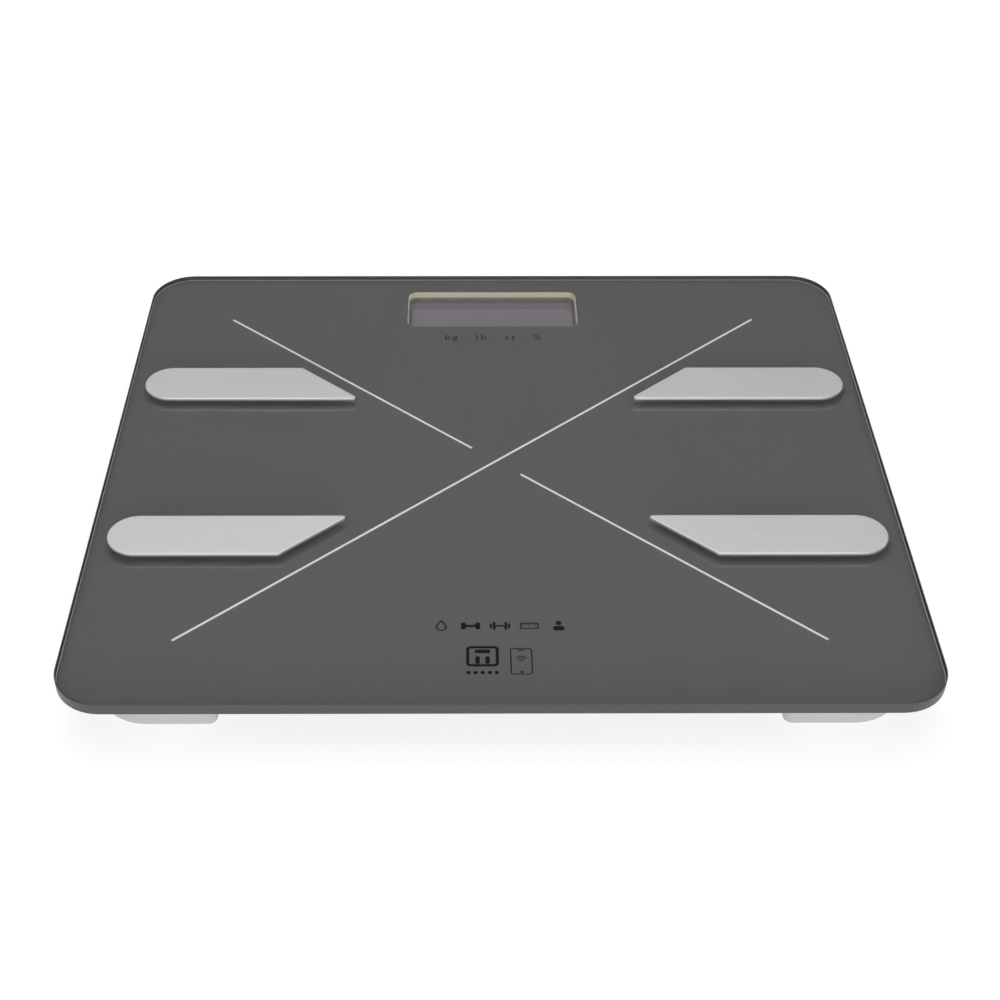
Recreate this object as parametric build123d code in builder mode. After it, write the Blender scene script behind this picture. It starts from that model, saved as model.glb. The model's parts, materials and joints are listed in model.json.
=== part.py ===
from build123d import *
import os
from math import atan2, degrees, hypot, radians, tan

# Digital bathroom scale. Millimetres, +Z up, origin on the floor under the platform's centre.
# +X is the user's right and +Y is the far side, where the display is.

# Platform: one tempered glass plate
PLATFORM_WIDTH = 300.0
PLATFORM_DEPTH = 260.0
PLATFORM_CORNER = 17.0
GLASS_THICKNESS = 5.0
GLASS_ARRIS = 0.4
UNDERSIDE_HEIGHT = 18.0

# Printed layer on the glass underside
PRINT_GAP = 0.05
PRINT_THICKNESS = 0.12
PRINT_INSET = 0.45
LINE_WIDTH = 0.95
LINE_CLEARANCE = 0.02
LINE_CORNER_GAP = 49.0
LINE_BREAK = 12.4
WINDOW_WIDTH = 74.0
WINDOW_DEPTH = 27.2
WINDOW_CORNER = 3.8
WINDOW_BACK_GAP = 23.8

# Electrode plates on top of the glass, each with a threaded stud through it
ELECTRODE_WIDTH = 21.4
ELECTRODE_THICKNESS = 1.0
ELECTRODE_EDGE = 0.35
ELECTRODE_TIP = 1.0
ELECTRODE_END_GAP = 6.8
ELECTRODE_ROW = 47.0
ELECTRODE_LINE_GAP = 8.5
ELECTRODE_GLUE = 0.05
STUD_RADIUS = 1.5
STUD_FROM_END = 43.2
STUD_TAIL = 0.8
STUD_HOLE_RADIUS = 3.0
BUSH_WALL_GAP = 0.05
BUSH_FLANGE_RADIUS = 5.0
BUSH_FLANGE = 0.8
TERMINAL_RADIUS = 3.4
TERMINAL_THICKNESS = 0.5
BARREL_RADIUS = 1.2
BARREL_LENGTH = 5.0
TERMINAL_NECK_START = 1.1
TERMINAL_NECK_LENGTH = 1.7
NUT_FLATS = 5.5
NUT_HEIGHT = 2.3
STACK_GAP = 0.02

# Feet: a housing glued under the glass, a load cell and a floating cup with a rubber sole
FOOT_SIZE = 43.0
FOOT_SIDE_INSET = 10.2
FOOT_END_INSET = 10.9
FOOT_OUTER_CORNER = 19.0
FOOT_CORNER = 3.0
FOOT_LEAST_CORNER = 0.5
FOOT_WALL = 1.8
FOOT_TRAVEL = 0.4
PAD_THICKNESS = 0.5
PAD_INSET = 2.5
FOOT_HOUSING_ROOF = 1.6
FOOT_SPLIT = 10.2
FOOT_SPLIT_GAP = 0.8
CUP_BOTTOM = 1.0
CUP_FLOOR = 2.0
CUP_EDGE = 0.7
SOLE_INSET = 1.6
SOLE_SEAT = 0.8
SOLE_GROOVE = 0.5
SOLE_RINGS = (16.0, 11.0, 6.0)
SOLE_RING_WIDTH = 1.0
CELL_SIZE = 32.0
CELL_THICKNESS = 2.0
CELL_CORNER = 7.0
CELL_ABOVE_SPLIT = 2.0
CELL_TONGUE = 12.0
CELL_SLOT = 3.2
CELL_RIM = 4.6
CELL_TONGUE_NECK = 1.0
CELL_SCREW_SPREAD = 9.0
CELL_SCREW_RADIUS = 1.25
CELL_SCREW_HEAD = 2.3
CELL_SCREW_HEAD_HEIGHT = 1.2
CELL_BOSS_RADIUS = 2.2
PIVOT_RADIUS = 3.5
PIVOT_GAP = 0.05
HOOK_WIDTH = 7.0
HOOK_THICKNESS = 1.2
HOOK_BARB = 1.3
HOOK_HEIGHT = 2.0
HOOK_PLAY = 0.5
HOOK_LEDGE = 1.8
GAUGE_THICKNESS = 0.2
GAUGE_WIDTH = 6.0
GAUGE_LENGTH = 9.0
GAUGE_CORNER = 1.0

# Electronics housing under the display
HOUSING_BESIDE_WINDOW = 23.0
HOUSING_BACK_GAP = 5.0
HOUSING_CORNER = 8.0
HOUSING_WALL = 1.8
HOUSING_ROOF = 1.4
HOUSING_EDGE = 0.8
COVER_BOTTOM = 3.0
COVER_THICKNESS = 2.0
COVER_GAP = 0.05
COVER_EDGE = 0.6
SCREW_INSET_X = 5.0
SCREW_INSET_Y = 5.5
SCREW_BOSS_RADIUS = 3.0
SCREW_RADIUS = 1.1
SCREW_HOLE_GAP = 0.05
SCREW_LENGTH = 7.0
SCREW_HEAD_RADIUS = 2.2
SCREW_HEAD_HEIGHT = 1.1
SCREW_RECESS = 1.3
SCREW_CROSS_WIDTH = 0.6

# Battery bay, door and cells
CELL_COUNT = 3
BATTERY_RADIUS = 5.2
BATTERY_LENGTH = 44.5
BATTERY_NUB_RADIUS = 1.9
BATTERY_NUB = 1.2
BATTERY_PITCH = 11.0
BATTERY_EDGE = 0.5
BATTERY_CLEARANCE = 0.3
BAY_FRONT_GAP = 8.0
BAY_BACK_GAP = 6.6
BAY_SIDE_GAP = 0.3
BAY_WALL = 1.4
BAY_WALL_HEIGHT = 8.0
CONTACT_THICKNESS = 0.4
SPRING_ROOM = 4.0
SPRING_RADIUS = 2.6
SPRING_WIRE = 0.3
SPRING_TURNS = 3.0
CONTACT_DEPTH = 9.0
CONTACT_HEIGHT = 7.0
DOOR_LEDGE = 2.0
DOOR_CLEARANCE = 0.3
DOOR_PIN_RADIUS = 0.6
DOOR_PIN_LENGTH = 1.6
DOOR_PIN_CLEARANCE = 0.06
DOOR_GRIP_COUNT = 4
DOOR_GRIP_WIDTH = 1.0
DOOR_GRIP_LENGTH = 14.0
DOOR_GRIP_DEPTH = 0.5
DOOR_GRIP_PITCH = 2.2

# Display and circuit board
BEZEL_RIM = 3.0
BEZEL_LIP = 0.2
BEZEL_DEPTH = 3.6
LCD_THICKNESS = 1.9
LCD_RIM = 0.6
REFLECTOR_THICKNESS = 0.3
BOARD_BESIDE_WINDOW = 13.0
BOARD_DEPTH = 32.0
BOARD_THICKNESS = 1.6
BOARD_CORNER = 1.5
CONNECTOR_HEIGHT = 1.0
CONNECTOR_DEPTH = 2.0
CONNECTOR_INSET = 4.0
CHIP_SIZE = 14.0
CHIP_HEIGHT = 1.2
CHIP_EDGE = 0.4
CHIP_FROM_CENTRE = 6.0
RADIO_WIDTH = 18.0
RADIO_DEPTH = 12.0
RADIO_HEIGHT = 1.8
RADIO_FROM_CENTRE = 34.0
SMALL_PART_LENGTH = 3.2
SMALL_PART_DEPTH = 1.6
SMALL_PART_HEIGHT = 0.9
SMALL_PART_PITCH = 5.0
SMALL_PART_COLUMNS = 3
SMALL_PART_ROWS = 4

# Unit button on the underside, pressing a tact switch on the board
BUTTON_X = -36.0
BUTTON_FROM_WINDOW = 8.0
BUTTON_RADIUS = 4.0
BUTTON_CLEARANCE = 0.1
BUTTON_PROUD = 0.3
BUTTON_FLANGE_RADIUS = 5.2
BUTTON_FLANGE = 0.8
BUTTON_FLANGE_GAP = 0.1
BUTTON_TRAVEL = 0.4
SWITCH_SIZE = 6.0
PLUNGER_RADIUS = 1.5
PLUNGER_CLEARANCE = 0.1
PLUNGER_INSIDE = 0.6
PLUNGER_SPARE = 0.2

# Cable ducts and leads
DUCT_WIDTH = 9.0
DUCT_WALL = 1.0
DUCT_HEIGHT = 5.0
DUCT_GAP = 0.3
DUCT_FOOT_X = 16.5
DUCT_HOUSING_X = 50.0
DUCT_BACK_Y = 6.0
DUCT_NOTCH = 12.0
DUCT_OVERRUN = 1.0
LEAD_RADIUS = 0.9
THIN_LEAD_RADIUS = 0.6
LEAD_LANE = 1.6
LEAD_GAP = 0.05
LEAD_HEIGHT = 14.8
LEAD_BEND_SHARE = 0.45
LEAD_BOARD_LANES = (7.0, 4.2, 1.5)
BOARD_APPROACH = 7.0
LANDING_LENGTH = 4.0
THIN_RUN = 5.0
THIN_LEAD_JOIN = 23.2
THIN_LEAD_ENTRY = 24.0

CORNERS = {
    "front_left": (-1, -1),
    "front_right": (1, -1),
    "back_left": (-1, 1),
    "back_right": (1, 1),
}

# Levels, upwards from the floor
glass_bottom = UNDERSIDE_HEIGHT
glass_top = glass_bottom + GLASS_THICKNESS
electrode_bottom = glass_top + ELECTRODE_GLUE
print_top = glass_bottom - PRINT_GAP
print_bottom = print_top - PRINT_THICKNESS
pad_bottom = print_bottom - PAD_THICKNESS
foot_roof_bottom = pad_bottom - FOOT_HOUSING_ROOF
cell_bottom = FOOT_SPLIT + CELL_ABOVE_SPLIT
cell_top = cell_bottom + CELL_THICKNESS
cup_top = FOOT_SPLIT - FOOT_SPLIT_GAP
cup_inside = CUP_BOTTOM + CUP_FLOOR
hook_bottom = FOOT_SPLIT + HOOK_LEDGE + HOOK_PLAY
cover_top = COVER_BOTTOM + COVER_THICKNESS
frame_bottom = cover_top + COVER_GAP
roof_bottom = pad_bottom - HOUSING_ROOF
lcd_top = pad_bottom - BEZEL_DEPTH
lcd_bottom = lcd_top - LCD_THICKNESS
board_top = lcd_bottom - REFLECTOR_THICKNESS - CONNECTOR_HEIGHT
board_bottom = board_top - BOARD_THICKNESS
battery_axis = cover_top + BATTERY_CLEARANCE + BATTERY_RADIUS
duct_bottom = print_bottom - DUCT_HEIGHT
bush_top = glass_top - STACK_GAP
bush_shoulder = print_bottom - STACK_GAP
terminal_top = bush_shoulder - BUSH_FLANGE - STACK_GAP
nut_top = terminal_top - TERMINAL_THICKNESS - STACK_GAP
stud_bottom = nut_top - NUT_HEIGHT - STUD_TAIL
barrel_z = terminal_top - BARREL_RADIUS

# Plan positions
housing_width = WINDOW_WIDTH + 2 * HOUSING_BESIDE_WINDOW
board_width = WINDOW_WIDTH + 2 * BOARD_BESIDE_WINDOW
diagonal_slope = PLATFORM_DEPTH / PLATFORM_WIDTH
diagonal_length = hypot(PLATFORM_WIDTH, PLATFORM_DEPTH)
line_reach = diagonal_length / 2 - LINE_CORNER_GAP
electrode_radius = ELECTRODE_WIDTH / 2
electrode_end_x = PLATFORM_WIDTH / 2 - ELECTRODE_END_GAP - electrode_radius
stud_x = PLATFORM_WIDTH / 2 - ELECTRODE_END_GAP - STUD_FROM_END
foot_x = PLATFORM_WIDTH / 2 - FOOT_SIDE_INSET - FOOT_SIZE / 2
foot_y = PLATFORM_DEPTH / 2 - FOOT_END_INSET - FOOT_SIZE / 2
window_y = PLATFORM_DEPTH / 2 - WINDOW_BACK_GAP
housing_back = PLATFORM_DEPTH / 2 - HOUSING_BACK_GAP
board_front = window_y - BOARD_DEPTH / 2
bay_depth = CELL_COUNT * BATTERY_PITCH + 2 * BAY_SIDE_GAP
bay_front = board_front - BAY_BACK_GAP - bay_depth
housing_front = bay_front - BAY_FRONT_GAP
housing_depth = housing_back - housing_front
housing_y = (housing_back + housing_front) / 2
screw_x = housing_width / 2 - SCREW_INSET_X
screw_y = housing_depth / 2 - SCREW_INSET_Y
bay_y = bay_front + bay_depth / 2
bay_length = BATTERY_LENGTH + SPRING_ROOM + 2 * CONTACT_THICKNESS
battery_x = SPRING_ROOM / 2
door_width = bay_length - 2 * DOOR_LEDGE
door_pivot_y = bay_front + DOOR_CLEARANCE + COVER_THICKNESS / 2
door_pivot_z = COVER_BOTTOM + COVER_THICKNESS / 2
bezel_width = WINDOW_WIDTH + 2 * BEZEL_RIM
bezel_depth = WINDOW_DEPTH + 2 * BEZEL_RIM
button_y = window_y - BUTTON_FROM_WINDOW
flange_bottom = cover_top + BUTTON_FLANGE_GAP
flange_top = flange_bottom + BUTTON_FLANGE
switch_bottom = flange_top + BUTTON_TRAVEL + PLUNGER_SPARE
front_duct_start = (foot_x - DUCT_FOOT_X, FOOT_SIZE / 2 - foot_y + DUCT_GAP)
front_duct_end = (DUCT_HOUSING_X, housing_front - DUCT_GAP)
front_duct_lean = (front_duct_end[0] - front_duct_start[0]) / (front_duct_end[1] - front_duct_start[1])
front_duct_skew = hypot(1, front_duct_lean)
back_duct_y = foot_y + DUCT_BACK_Y
lane_x = [board_width / 2 - lane for lane in LEAD_BOARD_LANES]
thin_lead_join_y = THIN_LEAD_JOIN - ELECTRODE_ROW
thin_lead_entry_y = housing_front + THIN_LEAD_ENTRY


def front_duct_x(y, lane=0.0):
    """Half-plan x of a line along a front duct, lane millimetres outwards of its middle."""
    return front_duct_start[0] + (y - front_duct_start[1]) * front_duct_lean + lane * front_duct_skew


def front_duct_slice(side, y_range, lanes):
    """Part of a front duct's plan, between two distances back and two lanes."""
    low, high = y_range
    inner, outer = lanes
    Polygon(
        (side * front_duct_x(low, inner), low),
        (side * front_duct_x(low, outer), low),
        (side * front_duct_x(high, outer), high),
        (side * front_duct_x(high, inner), high),
        align=None,
    )


def foot_outline(corner, height, inset):
    """Square with one large outer corner, drawn at a height and drawn in by an inset."""
    side, end = corner
    with BuildSketch(Plane.XY.offset(height)) as outline:
        with Locations((side * foot_x, end * foot_y)):
            Rectangle(FOOT_SIZE - 2 * inset, FOOT_SIZE - 2 * inset)
        ranked = outline.vertices().sort_by(lambda v: side * v.X + end * v.Y)
        fillet(ranked[-1], FOOT_OUTER_CORNER - inset)
        small = outline.vertices().sort_by(lambda v: side * v.X + end * v.Y)[:3]
        fillet(small, max(FOOT_CORNER - inset, FOOT_LEAST_CORNER))
    return outline.sketch


def housing_outline(height, inset):
    """Rounded plan of the electronics housing."""
    with BuildSketch(Plane.XY.offset(height)) as outline:
        with Locations((0, housing_y)):
            RectangleRounded(
                housing_width - 2 * inset, housing_depth - 2 * inset, HOUSING_CORNER - inset
            )
    return outline.sketch


def bend_radii(points):
    """The largest bend at each inner point that its two runs leave room for."""
    spots = [Vector(*point) for point in points]
    radii = []
    for before, here, after in zip(spots, spots[1:], spots[2:]):
        run_in = here - before
        run_out = after - here
        turn = run_in.get_angle(run_out)
        shorter = min(run_in.length, run_out.length)
        radii.append(LEAD_BEND_SHARE * shorter / tan(radians(turn) / 2))
    return radii


def make_lead(points, radius):
    """A round lead swept along straight runs joined by tangent arcs."""
    with BuildPart() as lead:
        with BuildLine() as route:
            FilletPolyline(*points, radius=bend_radii(points))
        with BuildSketch(Plane(origin=route.line @ 0, z_dir=route.line % 0)):
            Circle(radius)
        sweep()
    return lead.part


def make_glass_platform():
    with BuildPart() as glass:
        with BuildSketch(Plane.XY.offset(glass_bottom)):
            RectangleRounded(PLATFORM_WIDTH, PLATFORM_DEPTH, PLATFORM_CORNER)
        extrude(amount=GLASS_THICKNESS)
        chamfer(glass.faces().sort_by(Axis.Z)[-1].edges(), GLASS_ARRIS)
        chamfer(glass.faces().sort_by(Axis.Z)[0].edges(), GLASS_ARRIS)
        with BuildSketch(Plane.XY.offset(glass_bottom)):
            with GridLocations(2 * stud_x, 2 * ELECTRODE_ROW, 2, 2):
                Circle(STUD_HOLE_RADIUS)
        extrude(amount=GLASS_THICKNESS, mode=Mode.SUBTRACT)
    return glass.part


def diagonal_strips(height, grow):
    """One whole strip on one diagonal, and two part strips on the other."""
    whole = 2 * (line_reach + grow)
    piece = line_reach - LINE_BREAK + 2 * grow
    middle = (line_reach + LINE_BREAK) / 2
    width = LINE_WIDTH + 2 * grow
    lean = Vector(PLATFORM_WIDTH, PLATFORM_DEPTH).normalized()
    angle = degrees(atan2(lean.Y, lean.X))
    with BuildSketch(Plane.XY.offset(height)) as strips:
        Rectangle(whole, width, rotation=angle)
        with Locations((-middle * lean.X, middle * lean.Y), (middle * lean.X, -middle * lean.Y)):
            Rectangle(piece, width, rotation=-angle)
    return strips.sketch


def make_ink_layer():
    with BuildPart() as ink:
        with BuildSketch(Plane.XY.offset(print_bottom)):
            RectangleRounded(
                PLATFORM_WIDTH - 2 * PRINT_INSET,
                PLATFORM_DEPTH - 2 * PRINT_INSET,
                PLATFORM_CORNER - PRINT_INSET,
            )
            with Locations((0, window_y)):
                RectangleRounded(WINDOW_WIDTH, WINDOW_DEPTH, WINDOW_CORNER, mode=Mode.SUBTRACT)
            with GridLocations(2 * stud_x, 2 * ELECTRODE_ROW, 2, 2):
                Circle(STUD_HOLE_RADIUS, mode=Mode.SUBTRACT)
        extrude(amount=PRINT_THICKNESS)
        slots = diagonal_strips(print_bottom, LINE_CLEARANCE)
        extrude(slots, amount=PRINT_THICKNESS, mode=Mode.SUBTRACT)
    return ink.part


def make_diagonal_lines():
    with BuildPart() as lines:
        extrude(diagonal_strips(print_bottom, 0.0), amount=PRINT_THICKNESS)
    return lines.part


def make_electrode(corner):
    """A long plate with a round outer end, a slanted inner end and a threaded stud."""
    side, end = corner
    near = ELECTRODE_ROW - electrode_radius
    far = ELECTRODE_ROW + electrode_radius
    line_gap = ELECTRODE_LINE_GAP * hypot(1, diagonal_slope)
    tip_x = (near + line_gap) / diagonal_slope
    shoulder_x = (far + line_gap) / diagonal_slope
    with BuildPart() as electrode:
        with BuildSketch(Plane.XY.offset(electrode_bottom)) as outline:
            with BuildLine():
                Polyline(
                    (side * electrode_end_x, end * near),
                    (side * tip_x, end * near),
                    (side * shoulder_x, end * far),
                    (side * electrode_end_x, end * far),
                )
                ThreePointArc(
                    (side * electrode_end_x, end * far),
                    (side * (electrode_end_x + electrode_radius), end * ELECTRODE_ROW),
                    (side * electrode_end_x, end * near),
                )
            make_face()
            inner = outline.vertices().sort_by(lambda v: side * v.X)[:2]
            fillet(inner, ELECTRODE_TIP)
        extrude(amount=ELECTRODE_THICKNESS)
        fillet(electrode.faces().sort_by(Axis.Z)[-1].edges(), ELECTRODE_EDGE)
        with BuildSketch(Plane.XY.offset(electrode_bottom)):
            with Locations((side * stud_x, end * ELECTRODE_ROW)):
                Circle(STUD_RADIUS)
        extrude(amount=stud_bottom - electrode_bottom)
    return electrode.part


def make_stud_bushes():
    """Four flanged insulating bushes, one in each stud hole."""
    with BuildPart() as bushes:
        with BuildSketch(Plane.XY.offset(bush_shoulder)):
            with GridLocations(2 * stud_x, 2 * ELECTRODE_ROW, 2, 2):
                Circle(STUD_HOLE_RADIUS - BUSH_WALL_GAP)
        extrude(amount=bush_top - bush_shoulder)
        with BuildSketch(Plane.XY.offset(bush_shoulder)):
            with GridLocations(2 * stud_x, 2 * ELECTRODE_ROW, 2, 2):
                Circle(BUSH_FLANGE_RADIUS)
        extrude(amount=-BUSH_FLANGE)
        with BuildSketch(Plane.XY.offset(bush_top)):
            with GridLocations(2 * stud_x, 2 * ELECTRODE_ROW, 2, 2):
                Circle(STUD_RADIUS + BUSH_WALL_GAP)
        extrude(amount=bush_shoulder - BUSH_FLANGE - bush_top, mode=Mode.SUBTRACT)
    return bushes.part


def make_ring_terminals():
    """Four ring terminals; the front barrels point backwards, the back ones inwards."""
    with BuildPart() as terminals:
        for side, end in CORNERS.values():
            outward = Vector(-side, 0) if end > 0 else Vector(0, 1)
            stud = Vector(side * stud_x, end * ELECTRODE_ROW)
            mouth = stud + outward * TERMINAL_RADIUS
            with BuildSketch(Plane.XY.offset(terminal_top)):
                with Locations((stud.X, stud.Y)):
                    Circle(TERMINAL_RADIUS)
                    Circle(STUD_RADIUS + BUSH_WALL_GAP, mode=Mode.SUBTRACT)
            extrude(amount=-TERMINAL_THICKNESS)
            barrel = Plane(
                origin=(mouth.X, mouth.Y, barrel_z), x_dir=(0, 0, 1), z_dir=(outward.X, outward.Y, 0)
            )
            with BuildSketch(barrel):
                Circle(BARREL_RADIUS)
            extrude(amount=BARREL_LENGTH)
            with BuildSketch(barrel):
                Circle(THIN_LEAD_RADIUS + LEAD_GAP)
            extrude(amount=BARREL_LENGTH, mode=Mode.SUBTRACT)
            with BuildSketch(barrel.offset(-TERMINAL_NECK_START)):
                with Locations((BARREL_RADIUS - TERMINAL_THICKNESS / 2, 0)):
                    Rectangle(TERMINAL_THICKNESS, BARREL_RADIUS)
            extrude(amount=TERMINAL_NECK_LENGTH)
    return terminals.part


def make_stud_nuts():
    with BuildPart() as nuts:
        with BuildSketch(Plane.XY.offset(nut_top)):
            with GridLocations(2 * stud_x, 2 * ELECTRODE_ROW, 2, 2):
                RegularPolygon(NUT_FLATS / 2, 6, major_radius=False)
                Circle(STUD_RADIUS + BUSH_WALL_GAP, mode=Mode.SUBTRACT)
        extrude(amount=-NUT_HEIGHT)
    return nuts.part


def cell_screw_spots(corner):
    """Where the two screws hold a load cell's rim, either side of the tongue's root."""
    side, end = corner
    x = side * (foot_x - CELL_SIZE / 2 + CELL_RIM / 2)
    return [(x, end * foot_y + way * CELL_SCREW_SPREAD) for way in (-1, 1)]


def hook_spots(corner):
    """Centres of the cup's two snap hooks, at the front and the back of the foot."""
    side, end = corner
    reach = FOOT_SIZE / 2 - FOOT_WALL - HOOK_PLAY - HOOK_THICKNESS / 2
    return [(side * foot_x, end * foot_y + way * reach, way) for way in (-1, 1)]


def make_foot_housing(corner):
    """Upper half of a foot: roof, skirt, load-cell bosses, hook windows and a lead notch."""
    side, end = corner
    with BuildPart() as housing:
        extrude(foot_outline(corner, FOOT_SPLIT, 0), amount=pad_bottom - FOOT_SPLIT)
        fillet(housing.faces().sort_by(Axis.Z)[-1].edges(), CUP_EDGE)
        hollow = foot_outline(corner, FOOT_SPLIT, FOOT_WALL)
        extrude(hollow, amount=foot_roof_bottom - FOOT_SPLIT, mode=Mode.SUBTRACT)
        with BuildSketch(Plane.XY.offset(cell_top)):
            with Locations(*cell_screw_spots(corner)):
                Circle(CELL_BOSS_RADIUS)
        extrude(amount=foot_roof_bottom - cell_top)
        with BuildSketch(Plane.XY.offset(cell_top)):
            with Locations(*cell_screw_spots(corner)):
                Circle(CELL_SCREW_RADIUS + SCREW_HOLE_GAP)
        extrude(amount=foot_roof_bottom - cell_top, mode=Mode.SUBTRACT)
        for x, y, way in hook_spots(corner):
            with BuildSketch(Plane.XY.offset(hook_bottom - HOOK_PLAY)):
                with Locations((x, y + way * (HOOK_THICKNESS / 2 + HOOK_BARB / 2))):
                    Rectangle(HOOK_WIDTH + 2 * HOOK_PLAY, 2 * HOOK_BARB)
            extrude(amount=HOOK_HEIGHT + 2 * HOOK_PLAY + FOOT_TRAVEL, mode=Mode.SUBTRACT)
        notch_x, notch_y = foot_notch(corner)
        with BuildSketch(Plane.XY.offset(duct_bottom)):
            with Locations((notch_x, notch_y)):
                Rectangle(DUCT_WIDTH - 2 * DUCT_WALL, DUCT_WIDTH - 2 * DUCT_WALL)
        extrude(amount=foot_roof_bottom - duct_bottom, mode=Mode.SUBTRACT)
    return housing.part


def foot_notch(corner):
    """Middle of the stretch of foot wall that a duct meets."""
    side, end = corner
    if end < 0:
        wall_y = -foot_y + FOOT_SIZE / 2 - FOOT_WALL / 2
        return side * front_duct_x(wall_y), wall_y
    return side * (foot_x - FOOT_SIZE / 2 + FOOT_WALL / 2), back_duct_y


def make_foot_pads():
    """Adhesive foam under the print, one pad on each foot housing."""
    with BuildPart() as pads:
        for corner in CORNERS.values():
            extrude(foot_outline(corner, pad_bottom, PAD_INSET), amount=PAD_THICKNESS)
    return pads.part


def make_load_cell(corner):
    """Stamped steel plate: a rim round three sides of a slot, and a tongue that the foot lifts."""
    side, end = corner
    slot = CELL_SIZE - 2 * CELL_RIM
    leg = (slot - CELL_TONGUE) / 2
    with BuildPart() as cell:
        with BuildSketch(Plane.XY.offset(cell_bottom)):
            with Locations((side * foot_x, end * foot_y)):
                RectangleRounded(CELL_SIZE, CELL_SIZE, CELL_CORNER)
            for way in (-1, 1):
                with Locations((side * foot_x, end * foot_y + way * (CELL_TONGUE + leg) / 2)):
                    Rectangle(slot, leg - CELL_TONGUE_NECK, mode=Mode.SUBTRACT)
            with Locations((side * (foot_x + slot / 2 - CELL_SLOT / 2), end * foot_y)):
                Rectangle(CELL_SLOT, slot, mode=Mode.SUBTRACT)
            with Locations(*cell_screw_spots(corner)):
                Circle(CELL_SCREW_RADIUS + SCREW_HOLE_GAP, mode=Mode.SUBTRACT)
        extrude(amount=CELL_THICKNESS)
    return cell.part


def make_cell_screws():
    """Eight small pan-head screws holding the load cells up to their housings."""
    with BuildPart() as screws:
        for corner in CORNERS.values():
            with BuildSketch(Plane.XY.offset(cell_bottom - STACK_GAP)):
                with Locations(*cell_screw_spots(corner)):
                    Circle(CELL_SCREW_HEAD)
            extrude(amount=-CELL_SCREW_HEAD_HEIGHT)
            with BuildSketch(Plane.XY.offset(cell_bottom - STACK_GAP)):
                with Locations(*cell_screw_spots(corner)):
                    Circle(CELL_SCREW_RADIUS)
            extrude(amount=foot_roof_bottom - cell_bottom)
    return screws.part


def make_strain_gauges():
    """Sealed strain gauges on the load cells, from each tongue's root to the rim."""
    with BuildPart() as gauges:
        for side, end in CORNERS.values():
            root_x = foot_x - CELL_SIZE / 2 + GAUGE_LENGTH / 2 + CELL_RIM / 2
            with BuildSketch(Plane.XY.offset(cell_top)):
                with Locations((side * root_x, end * foot_y)):
                    RectangleRounded(GAUGE_LENGTH, GAUGE_WIDTH, GAUGE_CORNER)
        extrude(amount=GAUGE_THICKNESS)
    return gauges.part


def make_foot_cup(corner):
    """Floating lower half of a foot: floor, wall, pivot post and two snap hooks."""
    side, end = corner
    with BuildPart() as cup:
        extrude(foot_outline(corner, CUP_BOTTOM, 0), amount=cup_top - CUP_BOTTOM)
        fillet(cup.faces().sort_by(Axis.Z)[0].edges(), CUP_EDGE)
        hollow = foot_outline(corner, cup_inside, FOOT_WALL)
        extrude(hollow, amount=cup_top - cup_inside, mode=Mode.SUBTRACT)
        seat = foot_outline(corner, CUP_BOTTOM, SOLE_INSET)
        extrude(seat, amount=SOLE_SEAT, mode=Mode.SUBTRACT)
        with BuildSketch(Plane.XY.offset(cup_inside)):
            with Locations((side * foot_x, end * foot_y)):
                Circle(PIVOT_RADIUS)
        extrude(amount=cell_bottom - PIVOT_GAP - cup_inside)
        for x, y, way in hook_spots(corner):
            with BuildSketch(Plane.XY.offset(cup_inside)):
                with Locations((x, y)):
                    Rectangle(HOOK_WIDTH, HOOK_THICKNESS)
            extrude(amount=hook_bottom + HOOK_HEIGHT - cup_inside)
            with BuildSketch(Plane.XY.offset(hook_bottom)):
                with Locations((x, y + way * HOOK_BARB / 2)):
                    Rectangle(HOOK_WIDTH, HOOK_THICKNESS + HOOK_BARB)
            extrude(amount=HOOK_HEIGHT)
    return cup.part


def make_foot_sole(corner):
    """Rubber sole seated in the cup's underside, with ring grooves."""
    side, end = corner
    with BuildPart() as sole:
        outline = foot_outline(corner, 0, SOLE_INSET + LEAD_GAP)
        extrude(outline, amount=CUP_BOTTOM + SOLE_SEAT - STACK_GAP)
        for radius in SOLE_RINGS:
            with BuildSketch(Plane.XY):
                with Locations((side * foot_x, end * foot_y)):
                    Circle(radius)
                    Circle(radius - SOLE_RING_WIDTH, mode=Mode.SUBTRACT)
            extrude(amount=SOLE_GROOVE, mode=Mode.SUBTRACT)
    return sole.part


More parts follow.
